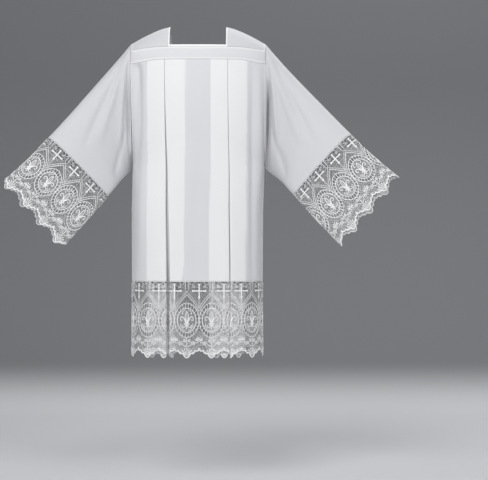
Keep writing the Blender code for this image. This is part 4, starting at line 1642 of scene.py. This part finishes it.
        for slope in (1.15, -1.15):
            self.hatch(1.64, self.ground_pitch, slope, under_ring, low=126, high=238)
        for down in (98, 104, 110):
            reach = self.ring[0] * math.sqrt(1 - ((down - self.ring_middle) / self.ring[1]) ** 2)
            self.cord([(reach, down), (self.half, down + 1.5)], 2, 0.5)

    def draw_scrolls(self) -> None:
        """The stem, curled leaves and shell under the medallion, and the small shell under the cross."""
        self.cord(self.even([(0, 177), (0, 206)]), 2.6, 0.55, 0.3, mirrored=False)
        self.cord(self.curl(8.4, 187, 5.6, 150, 1.4), 2.3, 0.55, 0.3)
        self.cord(self.curl(20.6, 194.5, 6.8, 220, -1.5), 2.4, 0.55, 0.3)
        self.cord(self.curl(30.6, 183.6, 5.2, 30, 1.3), 2.2, 0.55, 0.3)
        self.cord(self.smooth([(2, 204), (9, 201), (14, 195), (14.8, 188)]), 2.2, 0.55, 0.3)
        self.cord(self.smooth([(26.6, 190), (30, 193), (34, 192), (37.2, 187)]), 2.2, 0.55, 0.3)
        for turn in np.radians(np.arange(-66, 67, 22)):
            tip = (22.0 * math.sin(turn), 232.0 - 25.0 * math.cos(turn))
            rib = [(2.0 * math.sin(turn), 231), (12.0 * math.sin(turn), 231.5 - 13.0 * math.cos(turn)), tip]
            self.cord(rib, (1.7, 2.2, 3.2), 0.5, 0.2, mirrored=False)
        for radius in (10, 19):
            turns = np.radians(np.linspace(-80, 80, 10))
            arc = np.stack([radius * np.sin(turns), 232.0 - radius * 1.1 * np.cos(turns)], axis=1)
            self.cord(arc, 1.7, 0.5, 0.1, mirrored=False)
        for turn in np.radians((18, 52, 84)):
            tip = (self.half - 12.0 * math.sin(turn), 186.0 - 15.0 * math.cos(turn))
            self.cord([(self.half - 1.0 * math.sin(turn), 184), tip], (1.8, 3), 0.5, 0.2)

    def draw_edge(self) -> None:
        """The thick corded edge, and the thin cord inside it with its bars."""
        line = self.edge_line()
        self.cord(self.even(line, 2.5), self.edge_width, 0.5, 0.2)
        inner = line - (0, 6)
        self.cord(self.even(inner, 3.4), 1.7, 0.5)
        bars = self.even(line, 4.6)
        tops = self.even(inner, 4.6)
        for bar, top in zip(bars[1:-1], tops[1:-1]):
            self.cord([top, bar], 1.2, 0.5)

    def draw(self) -> None:
        """Draws the whole repeat."""
        self.draw_cross()
        self.draw_heading()
        self.draw_arch()
        self.draw_leaves()
        self.draw_ring()
        self.draw_medallion()
        self.draw_ground()
        self.draw_scrolls()
        self.draw_edge()

    def mesh(self, name: str, across_scale: float, down_scale: float) -> Mesh:
        """The chart as a flat mesh of edges with a width, rise and lift at each point.

        Args:
            name: The mesh's name.
            across_scale: Metres across for each millimetre of the chart.
            down_scale: Metres down for each millimetre of the chart.

        Returns:
            The mesh, in the XY plane, with down towards -Y.
        """
        lines, widths, rises, lifts = [], [], [], []
        for strand in self.strands:
            count = len(strand.points)
            lines.append([(x * across_scale, -h * down_scale, 0.0) for x, h in strand.points])
            widths += list(strand.width * MM)
            rises += [strand.rise] * count
            lifts += [strand.lift * MM] * count
        mesh = line_mesh(name, lines, [strand.closed for strand in self.strands])
        for label, values in (("cord_width", widths), ("cord_rise", rises), ("cord_lift", lifts)):
            mark(mesh, label, values)
        return mesh


def flat_lace(tree: PieceTree, name: str, material: Material, size: tuple, first: float,
              count: int) -> Mesh:
    """Draws the chart, sweeps its cords and repeats them along a flat strip.

    Args:
        tree: The tree that sweeps and repeats.
        name: The mesh's name.
        material: The lace's material.
        size: The width of a repeat and the height of the lace.
        first: Where the first medallion's axis is.
        count: How many repeats there are.

    Returns:
        The strip.
    """
    chart = LaceChart()
    chart.draw()
    source = chart.mesh(name + "_chart", size[0] / chart.repeat, size[1] / chart.height)
    return tree.run(name, source, {"Count": count, "First": first, "Repeat": size[0], "Material": material})


@dataclass
class Bed:
    """A fine grid of the cloth's surface, on which flat lace is laid."""

    across: Array
    down: Array
    points: Array
    normals: Array = field(init=False)

    def __post_init__(self) -> None:
        """Works out the surface's outward directions."""
        along_rows = np.gradient(self.points, axis=1)
        along_columns = np.gradient(self.points, axis=0)
        normals = np.cross(along_columns, along_rows)
        self.normals = normals / np.linalg.norm(normals, axis=-1, keepdims=True)

    def lay(self, flat: Array, outward: float) -> Array:
        """Lays flat points on the surface.

        Args:
            flat: Rows of across, minus down, and height over the cloth.
            outward: 1 where the grid's normals point out of the garment, -1 where they point in.

        Returns:
            The points in place.
        """
        column = np.interp(flat[:, 0], self.across, np.arange(len(self.across)))
        row = np.interp(-flat[:, 1], self.down, np.arange(len(self.down)))
        j = np.minimum(column.astype(int), len(self.across) - 2)
        i = np.minimum(row.astype(int), len(self.down) - 2)
        u, v = (column - j)[:, None], (row - i)[:, None]

        def read(values: Array) -> Array:
            """The values between four neighbours of the grid."""
            upper = mix(values[i, j], values[i, j + 1], u)
            return mix(upper, mix(values[i + 1, j], values[i + 1, j + 1], u), v)

        normal = read(self.normals)
        normal /= np.linalg.norm(normal, axis=1, keepdims=True)
        return read(self.points) + normal * flat[:, 2:] * outward


def mesh_points(mesh: Mesh) -> Array:
    """The points of a mesh, a row each."""
    flat = np.zeros(len(mesh.vertices) * 3)
    mesh.vertices.foreach_get("co", flat)
    return flat.reshape(-1, 3)


def lay_mesh(mesh: Mesh, bed: Bed, outward: int) -> None:
    """Lays a flat lace mesh on its bed, raised side out, and keeps its faces turned outwards.

    Args:
        mesh: The mesh.
        bed: The bed.
        outward: 1 or -1, as for Bed.lay.
    """
    laid = bed.lay(mesh_points(mesh), float(outward))
    mesh.vertices.foreach_set("co", laid.astype(np.float32).ravel())
    if outward < 0:
        mesh.flip_normals()
    mesh.update()


def cut_strip(mesh: Mesh, start: float, end: float, bends: list) -> None:
    """Cuts a flat strip at its two ends, closes the cut cords, and divides cords where the cloth turns.

    Args:
        mesh: The flat strip.
        start: Its left end.
        end: Its right end.
        bends: The places across at which cords get a row of points.
    """
    work = bmesh.new()
    work.from_mesh(mesh)
    for place, away in ((start, -1.0), (end, 1.0)):
        everything = work.verts[:] + work.edges[:] + work.faces[:]
        cut = bmesh.ops.bisect_plane(work, geom=everything, dist=TINY, plane_co=(place, 0.0, 0.0),
                                     plane_no=(away, 0.0, 0.0), clear_outer=True)
        rims = [e for e in cut["geom_cut"] if isinstance(e, bmesh.types.BMEdge)]
        bmesh.ops.holes_fill(work, edges=rims, sides=0)
    for place in bends:
        near = [f for f in work.faces if min(v.co.x for v in f.verts) < place < max(v.co.x for v in f.verts)]
        geometry = near + list({e for f in near for e in f.edges}) + list({v for f in near for v in f.verts})
        bmesh.ops.bisect_plane(work, geom=geometry, dist=TINY, plane_co=(place, 0.0, 0.0),
                               plane_no=(1.0, 0.0, 0.0))
    work.to_mesh(mesh)
    work.free()


@dataclass
class Panel:
    """The front or the back: one width of cloth in its pleats, from the yoke to the lace."""

    face: Face
    form: BodyForm
    yoke: YokeForm
    finishes: Finishes
    wall: float = 0.0008
    rows_to_underarm: int = 34
    rows_below: int = 44
    sag_reach: float = 0.14

    def heights(self) -> Array:
        """The height of each row, from the yoke down to the lace.

        Returns:
            The heights.
        """
        form, gap = self.form, self.form.seam_gap / 2
        above = np.linspace(form.yoke_foot - gap, form.underarm, self.rows_to_underarm)[:-1]
        below = np.linspace(form.underarm, form.lace_seam + gap, self.rows_below)
        return np.concatenate([above[:1], above[:1] - form.edge_row, above[1:],
                               below[:-1], below[-1:] + form.edge_row, below[-1:]])

    def layers_and_painted_shade(self, z: float) -> Array:
        """Shows where the cloth lies in three layers, and where a seam allowance lies behind it; the rest
        keeps the grey painted shade of single cloth.

        Args:
            z: The row's height.

        Returns:
            0 to 1 for each column.
        """
        form = self.form
        total = form.layer_share(z, self.face)
        if z > form.underarm:
            reach = form.outline(z, self.face)[0][-1] - np.abs(form.path(z, self.face)[:, 0])
            total = np.maximum(total, self.yoke.allowance_share(reach) * self.yoke.allowance_painted_shade)
        return total

    def hung(self, grid: Array, heights: Array) -> Array:
        """Slides the rows under the band down its hanging ends, less and less down the panel.

        Args:
            grid: The cloth's points, under a level band.
            heights: The height of each row.

        Returns:
            The points in place.
        """
        share = 1 - smoothstep((self.form.yoke_foot - heights) / self.sag_reach)
        drop = self.yoke.sag_foot * self.yoke.hang(grid[0, :, 0])
        row = np.interp(share[:, None] * drop - heights[:, None], -heights, np.arange(len(heights)))
        i = np.minimum(row.astype(int), len(heights) - 2)
        j = np.arange(grid.shape[1])[None]
        return mix(grid[i, j], grid[i + 1, j], (row - i)[..., None])

    def build(self) -> Object:
        """Builds and dresses the panel.

        Returns:
            The piece.
        """
        form, heights, label = self.form, self.heights(), self.face.name.lower()
        grid = self.hung(form.grid(self.face, heights), heights)
        flat = flat_places(form.flat_columns(self.face), form.yoke_foot - heights)
        # Layer shares, which the cloth material turns into white cloth with painted shade where they are low.
        layers = np.array([self.layers_and_painted_shade(float(z)) for z in heights])
        piece = woven_panel("cloth_" + label, grid, flat, layers, self.finishes["cloth"], self.wall)
        width, length = float(flat[0, -1, 0] - flat[0, 0, 0]), form.yoke_foot - form.lace_seam
        return dress(piece, Slot.CLOTH, label, flat=(round(width, 3), round(length, 3)), held="hung",
                     rests_on=["band_" + label])


@dataclass
class HemLace:
    """The lace band of the front or back, pleated with the cloth above it."""

    face: Face
    form: BodyForm
    finishes: Finishes
    tree: PieceTree
    repeat: float = 0.077
    phase: float = 0.009
    height: float = 0.240
    cover: float = 0.72
    end_gap: float = 0.0006
    bed_foot: float = 0.002
    bed_rows: int = 26
    bed_columns: int = 1200

    def bed(self) -> Bed:
        """The pleated surface under the seam, as a fine grid.

        Returns:
            The bed.
        """
        form = self.form
        heights = np.linspace(form.lace_seam - form.seam_gap / 2, form.hem - self.bed_foot, self.bed_rows)
        columns = form.flat_columns(self.face)
        grid = form.grid(self.face, heights)
        fine = np.linspace(columns[0], columns[-1], self.bed_columns)
        order = np.interp(fine, columns, np.arange(len(columns)))
        j = np.minimum(order.astype(int), len(columns) - 2)
        share = (order - j)[None, :, None]
        return Bed(fine, heights[0] - heights, mix(grid[:, j], grid[:, j + 1], share))

    def build(self) -> Object:
        """Builds and dresses the lace, marked where it lies in three layers, where its thin threads stay
        white instead of taking painted shade, so that it looks denser.

        Returns:
            The piece.
        """
        form, bed, label = self.form, self.bed(), self.face.name.lower()
        start, end = float(bed.across[0]), float(bed.across[-1])
        first = math.floor(start / self.repeat) - 0.5
        count = math.ceil(end / self.repeat) - math.floor(start / self.repeat) + 1
        node = "hem_lace_" + label
        mesh = flat_lace(self.tree, node, self.finishes["lace"], (self.repeat, self.height),
                         first * self.repeat + self.phase, count)
        cut_strip(mesh, start + self.end_gap, end - self.end_gap, form.bends(self.face))
        share = form.layer_share((form.lace_seam + form.hem) / 2, self.face)
        # The three-layer share, which lifts the painted shade off thin threads.
        mark(mesh, "layers", np.interp(mesh_points(mesh)[:, 0], form.flat_columns(self.face), share))
        lay_mesh(mesh, bed, -self.face.value)
        width = round(end - start, 3)
        return dress(link_object("lace_hem_" + label, mesh), Slot.LACE, node, flat=(width, self.height),
                     held="hung", rests_on=["cloth_" + label], area=self.cover * width * self.height)


@dataclass
class Sleeve:
    """One bell sleeve, from the armhole to its lace."""

    form: SleeveForm
    finishes: Finishes
    wall: float = 0.0008
    columns: int = 132
    rows: int = 62
    crowding: float = 1.25
    seam_gap: float = 0.0006
    edge_row: float = 0.0014
    # Painted shade: the whole sleeve is painted darker than single cloth, its seam strip lighter for the
    # allowance behind it.
    shade: float = -0.35
    seam_painted_shade: float = 0.6
    seam_reach: float = 0.018
    seam_blend: float = 0.006
    slope_share: float = 0.88

    def build(self) -> Object:
        """Builds and dresses the sleeve.

        Returns:
            The piece.
        """
        form, node = self.form, "sleeve_" + self.form.side.name.lower()
        stations = (form.lace_seam - self.seam_gap) * np.linspace(0.0, 1.0, self.rows) ** self.crowding
        stations = np.insert(stations, (1, self.rows - 1), (self.edge_row, stations[-1] - self.edge_row))
        turns = np.linspace(0.0, 2.0, self.columns + 1)[:-1]
        grid = np.array([form.ring(float(along), turns) for along in stations])
        down = flat_lengths(grid[:, 3 * self.columns // 4])
        flat = flat_places(flat_lengths(grid[self.rows // 2]), down)
        # Painted shade round the sleeve, lighter along the underarm seam.
        seam = mix(self.shade, self.seam_painted_shade, within(np.abs(turns - 1.0), self.seam_reach, self.seam_blend))
        piece = woven_panel("cloth_" + node, grid, flat, seam, self.finishes["cloth"], self.wall, closed=True)
        girths = [girth(row) for row in grid]
        longest = float(flat_lengths(grid[:, 0])[-1])
        return dress(piece, Slot.CLOTH, node + "_front", node + "_back",
                     flat=(round(max(girths), 3), round(longest, 3)), held="hung",
                     rests_on=["cloth_front", "cloth_back"],
                     area=float(np.mean(girths)) * float(down[-1]) * self.slope_share)


@dataclass
class CuffLace:
    """The lace round one sleeve's end."""

    form: SleeveForm
    finishes: Finishes
    tree: PieceTree
    repeats: int = 8
    phase_left: float = 0.50
    phase_right: float = -0.08
    height: float = 0.213
    cover: float = 0.72
    bed_rows: int = 26
    bed_columns: int = 700
    overlap: float = 0.25
    seam_gap: float = 0.0005

    def build(self) -> Object:
        """Builds and dresses the lace.

        Returns:
            The piece.
        """
        form, label = self.form, self.form.side.name.lower()
        around = sum(form.half_length(face, (form.lace_seam + 1) / 2) for face in Face)
        repeat = around / self.repeats
        phase = self.phase_left if form.side is Side.LEFT else self.phase_right
        mesh = flat_lace(self.tree, "lace_cuff_" + label, self.finishes["lace"], (repeat, self.height),
                         phase * repeat, self.repeats)
        down = np.linspace(0.0, self.height, self.bed_rows)
        turns = np.linspace(-self.overlap, 2.0 + self.overlap, self.bed_columns)
        rings = [form.ring(float(mix(form.lace_seam, 1.0, (h + self.seam_gap) / self.height)), turns)
                 for h in down]
        lay_mesh(mesh, Bed(turns / 2 * around, down, np.array(rings)), -form.side.value)
        node, width = "cuff_lace_" + label, round(around, 3)
        return dress(link_object("lace_cuff_" + label, mesh), Slot.LACE, node + "_front", node + "_back",
                     flat=(width, self.height), held="hung", rests_on=["cloth_sleeve_" + label],
                     area=self.cover * width * self.height)


@dataclass
class Yoke:
    """The yoke's bands, shoulder pieces and neck binding."""

    form: YokeForm
    finishes: Finishes
    wall: float = 0.0010
    welt: float = 0.0050
    welt_rise: float = 0.0009
    welt_step: float = 0.0012
    welt_lip: float = 0.0008
    # Painted shade on the cloth's layer scale: the band greyer than layered cloth, the shoulders darker than
    # single cloth.
    band_shade: float = 0.25
    shoulder_shade: float = -0.30
    columns: int = 110
    band_rows: int = 26
    shoulder_columns: int = 30
    shoulder_rows: int = 56
    binding_rows: int = 8
    binding_crown: float = 0.0016
    crown_power: float = 0.7
    neck_points: int = 44
    gauge_row: int = 3
    gauge_column: int = 10
    least_depth: float = 0.0031
    least_flat: float = 0.010

    def band(self, face: Face) -> Object:
        """The straight band across the chest or the back, its edges turned in and stitched.

        Args:
            face: The face.

        Returns:
            The piece.
        """
        form, label = self.form, face.name.lower()
        end = form.end - form.seam_gap / 2
        x = np.linspace(-end, end, self.columns)
        heights = np.linspace(0.0, form.band_top - form.body.yoke_foot - form.seam_gap, self.band_rows)
        edges = np.minimum(heights, heights[-1] - heights)
        welts = within(edges, self.welt, self.welt_step)
        rises = self.welt_rise * welts - self.welt_rise * smoothstep(1 - edges / self.welt_lip)
        rows = []
        for height, rise in zip(heights, rises):
            line = form.band_line(x, float(height / heights[-1]))
            rows.append(form.band_points(x, line, face, np.full(len(x), float(rise))))
        grid = np.array(rows)
        # The band's middle carries painted shade; its turned-in welts are white.
        layers = mix(self.band_shade, 1.0, welts)[:, None]
        piece = woven_panel("band_" + label, grid, flat_places(x, heights), layers, self.finishes["cloth"],
                            self.wall)
        width, deep = (float(flat_lengths(line)[-1]) for line in (grid[0], grid[:, self.columns // 2]))
        return dress(piece, Slot.CLOTH, "yoke_band_" + label, flat=(round(width, 3), round(deep, 3)),
                     held="stretched", rests_on=["cloth_shoulder_left", "cloth_shoulder_right"])

    def shoulder(self, side: Side) -> Object:
        """One shoulder piece, from the neck to the armhole.

        Args:
            side: The side.

        Returns:
            The piece.
        """
        form, gap, node = self.form, self.form.seam_gap / 2, "shoulder_" + side.name.lower()
        near = form.neck_half_width + form.binding_width + gap
        x = side.value * np.linspace(near, form.end - gap, self.shoulder_columns)
        foot = form.band_line(x, 1.0) + 2 * gap
        front, back = (form.roll_at(x, foot, face) for face in Face)
        grid = np.array([form.point(x, form.off_crest(mix(front, back, over)), np.zeros(len(x)))
                         for over in np.linspace(0.0, 1.0, self.shoulder_rows)])
        down = flat_lengths(grid[:, 0])
        # The shoulder piece is darker with painted shade, and lighter by the armhole for the allowance.
        shade = mix(self.shoulder_shade, form.allowance_painted_shade, form.allowance_share(form.end - np.abs(x)))
        piece = woven_panel("cloth_" + node, grid, flat_places(np.abs(x), down), shade,
                            self.finishes["cloth"], self.wall)
        across = float(flat_lengths(grid[self.shoulder_rows // 2])[-1])
        return dress(piece, Slot.CLOTH, node, flat=(round(across, 3), round(float(down[-1]), 3)),
                     held="stretched", rests_on=["band_front", "band_back"])

    def binding_path(self, share: float) -> Array:
        """A closed line round the neck, on the binding.

        Args:
            share: 0 at the binding's outer edge, 1 at the neck.

        Returns:
            Its points, a row each.
        """
        form, gap = self.form, self.form.seam_gap / 2
        half = mix(form.neck_half_width + form.binding_width - gap, form.neck_half_width, share)
        z = mix(form.band_top + gap, form.neck_edge, share)
        run = np.linspace(-1, 1, self.neck_points + 1)[:-1]
        end = np.ones(self.neck_points)
        across = np.concatenate([run, end, -run, -end])
        over = np.concatenate([-end, run, end, -run])
        crown = self.binding_crown * math.sin(math.pi * share) ** self.crown_power
        x = across * half
        front, back = (form.roll_at(x, z, face) for face in Face)
        return form.point(x, form.off_crest(mix(front, back, (over + 1) / 2)), np.full(len(x), crown))

    def binding(self) -> Object:
        """The narrow bias binding round the square neck.

        Returns:
            The piece.
        """
        grid = np.array([self.binding_path(share) for share in np.linspace(0.0, 1.0, self.binding_rows)])
        across = np.linspace(0.0, self.form.binding_width, self.binding_rows)
        flat = flat_places(flat_lengths(grid[0]), across)
        piece = woven_panel("binding_neck", grid, flat, 1.0, self.finishes["binding"], self.wall, closed=True)
        around = girth(grid[self.gauge_row])
        deep = float(flat_lengths(grid[:, self.gauge_column])[-1])
        return dress(piece, Slot.BINDING, "neck_binding", held="stretched",
                     flat=(round(max(deep, self.least_flat), 4), round(around, 3)),
                     rests_on=["band_front", "band_back", "cloth_shoulder_left", "cloth_shoulder_right"],
                     area=max(deep, self.least_depth) * around)


@dataclass
class Stitching:
    """The rows of small stitches on the bands, round the neck, beside the armholes and on the lace seams."""

    yoke: YokeForm
    sleeves: list
    finishes: Finishes
    tree: PieceTree
    height: float = 0.0006
    band_inset: float = 0.0026
    welt_rise: float = 0.0009
    armhole_inset: float = 0.0050
    seam_inset: float = 0.0016
    cuff_insets: tuple = (0.003, 0.013)
    points: int = 160

    def sew(self, name: str, lines: list, slot: Slot) -> Object:
        """Sews a row of stitches along each of these lines.

        Args:
            name: The piece's name.
            lines: The lines.
            slot: The colour slot.

        Returns:
            The piece.
        """
        source = line_mesh(name + "_lines", lines, [False] * len(lines))
        mesh = self.tree.run(name, source, {"Material": self.finishes["sewing"]})
        return dress(link_object(name, mesh), slot)

    def band_rows(self) -> list:
        """A row inside each edge of both bands.

        Returns:
            The rows.
        """
        form = self.yoke
        x = np.linspace(-form.end + self.band_inset, form.end - self.band_inset, self.points)
        inset = self.band_inset / (form.band_top - form.body.yoke_foot)
        out = np.full(len(x), self.height + self.welt_rise)
        return [form.band_points(x, form.band_line(x, share), face, out)
                for face in Face for share in (inset, 1 - inset)]

    def neck_rows(self) -> list:
        """A row down each side of the neck, on the shoulder piece beside the binding.

        Returns:
            The rows.
        """
        form = self.yoke
        half = form.neck_half_width + form.binding_width + self.seam_inset
        end = abs(float(form.roll_at(np.array([half]), form.band_top, FRONT)[0]))
        roll = np.linspace(-end, end, self.points)
        return [form.point(np.full(self.points, side.value * half), roll, self.height) for side in Side]

    def armhole_rows(self) -> list:
        """A row beside each half of each armhole, from the shoulder to the underarm.

        Returns:
            The rows.
        """
        form, body, rows = self.yoke, self.yoke.body, []
        for side in Side:
            x = np.full(self.points, side.value * (form.end - self.armhole_inset))
            top, foot = (float(form.band_line(x, share)[0]) for share in (1.0, 0.0))
            for face in Face:
                roll = np.linspace(0.0, 1.0, self.points) * form.roll_at(x, top, face)
                line = list(form.point(x, form.off_crest(roll, face.value), self.height))
                for z in np.linspace(foot, body.underarm, self.points)[1:]:
                    length = body.outline(float(z), face)[0][-1] - self.armhole_inset
                    line.append(body.points(float(z), face, np.array([side.value * length]), -self.height)[0])
                rows.append(line)
        return rows

    def lace_rows(self) -> list:
        """A row over each lace seam, on the body's pleats and round the sleeves.

        Returns:
            The rows.
        """
        body, rows = self.yoke.body, []
        for face in Face:
            z = body.lace_seam + self.seam_inset
            path = body.path(z, face)
            rows.append(body.points(z, face, path[:, 0], path[:, 1] - self.height))
        turns = np.linspace(0.0, 2.0, self.points)
        for form in self.sleeves:
            line, beside = (form.ring(form.lace_seam - inset, turns) for inset in self.cuff_insets)
            out = np.cross(np.gradient(line, axis=0), beside - line)
            out *= np.sign(np.sum(out * (line - line.mean(axis=0))))
            rows.append(line + self.height * out / np.linalg.norm(out, axis=1, keepdims=True))
        return rows

    def build(self) -> list:
        """Sews all the rows."""
        return [self.sew("stitching_yoke", self.band_rows() + self.neck_rows(), Slot.CLOTH),
                self.sew("stitching_armholes", self.armhole_rows(), Slot.CLOTH),
                self.sew("stitching_lace", self.lace_rows(), Slot.LACE)]


@dataclass(frozen=True)
class Lamp:
    """One soft square light: its place, what it is aimed at, its size and its power."""

    name: str
    place: tuple
    aim: tuple
    size: float
    power: float

    def hang(self) -> None:
        """Hangs the lamp, out of the camera's sight."""
        light = bpy.data.lights.new(self.name, "AREA")
        light.shape = "SQUARE"
        light.size = self.size
        light.energy = self.power
        holder = link_object(self.name, light)
        holder.visible_camera = False
        holder.location = self.place
        holder.rotation_mode = "QUATERNION"
        holder.rotation_quaternion = Vector(np.subtract(self.place, self.aim)).to_track_quat("Z", "Y")


@dataclass
class Studio:
    """The pale floor, the soft lights and the camera at the photograph's angle."""

    finishes: Finishes
    pixel: float = 0.0032
    view: str = "Standard"
    image_width: int = 488
    centre_x: float = 0.1456
    centre_z: float = -0.678
    distance: float = 6.0
    sensor: float = 36.0
    farthest: float = 100.0
    floor: float = -1.452
    floor_front: float = -9.0
    floor_back: float = 2.2
    floor_side: float = 12.0
    sweep: float = 1.6
    sweep_steps: int = 12
    wall_height: float = 9.0
    sky: tuple = (0.95, 0.97, 1.0, 1.0)
    sky_strength: float = 0.17
    lamps: tuple = (
        Lamp("key", (-1.8, -6.9, 4.6), (0.0, 0.0, -0.60), 3.2, 478.0),
        Lamp("fill", (3.9, -6.6, 3.9), (0.0, 0.0, -0.60), 3.5, 210.0),
        Lamp("side", (-4.2, -1.4, 0.8), (-0.1, 0.0, -0.70), 1.8, 30.0),
        Lamp("side_right", (4.2, -0.6, 1.6), (0.1, 0.0, -0.50), 1.8, 18.0),
        Lamp("back", (1.3, 2.9, 3.3), (0.0, 0.0, -0.50), 2.0, 135.0),
    )

    def ground(self) -> None:
        """A floor that sweeps up into a wall behind."""
        profile = [(self.floor_front, 0.0), (self.floor_back, 0.0)]
        for turn in np.linspace(0.0, math.pi / 2, self.sweep_steps + 1)[1:]:
            profile.append((self.floor_back + self.sweep * math.sin(turn), self.sweep * (1 - math.cos(turn))))
        profile.append((self.floor_back + self.sweep, self.wall_height))
        points = [(x, y, self.floor + z) for y, z in profile for x in (-self.floor_side, self.floor_side)]
        faces = [(2 * i, 2 * i + 1, 2 * i + 3, 2 * i + 2) for i in range(len(profile) - 1)]
        mesh = bpy.data.meshes.new("pale_floor")
        mesh.from_pydata(points, [], faces)
        mesh.materials.append(self.finishes["ground"])
        mesh.shade_smooth()
        link_object("pale_floor", mesh)

    def build(self) -> None:
        """Builds the floor, lights, world and camera."""
        self.ground()
        for lamp in self.lamps:
            lamp.hang()
        scene = bpy.context.scene
        scene.world = bpy.data.worlds.new("soft_studio")
        scene.world.use_nodes = True
        background = scene.world.node_tree.nodes["Background"].inputs
        background["Color"].default_value = self.sky
        background["Strength"].default_value = self.sky_strength
        lens = bpy.data.cameras.new("camera")
        lens.sensor_width = self.sensor
        lens.lens = self.sensor * self.distance / (self.pixel * self.image_width)
        lens.clip_end = self.farthest
        camera = link_object("camera", lens)
        camera.location = (self.centre_x, -self.distance, self.centre_z)
        camera.rotation_euler = (math.pi / 2, 0.0, 0.0)
        scene.camera = camera
        scene.view_settings.view_transform = self.view


def report(pieces: list) -> None:
    """Logs the triangles of each piece and of the whole garment.

    Args:
        pieces: The pieces.
    """
    total = 0
    for piece in pieces:
        count = triangle_count(piece)
        total += count
        log.info("%s: %d triangles", piece.name, count)
    log.info("whole garment: %d triangles", total)


def main() -> None:
    """Builds the garment's pieces in order and reports each."""
    logging.basicConfig(level=logging.INFO, format="%(message)s")
    finishes = Finishes()
    finishes.build()
    Studio(finishes).build()
    body = BodyForm()
    yoke_form = YokeForm(body)
    made = []
    yoke = Yoke(yoke_form, finishes)
    for face in Face:
        made.append(yoke.band(face))
        made.append(Panel(face, body, yoke_form, finishes).build())
    for side in Side:
        made.append(yoke.shoulder(side))
    made.append(yoke.binding())
    tree = lace_tree()
    for face in Face:
        made.append(HemLace(face, body, finishes, tree).build())
    sleeves = [SleeveForm(side, body, yoke_form) for side in Side]
    for form in sleeves:
        made.append(Sleeve(form, finishes).build())
        made.append(CuffLace(form, finishes, tree).build())
    made += Stitching(yoke_form, sleeves, finishes, stitch_tree()).build()
    report(made)


if __name__ == "__main__":
    main()
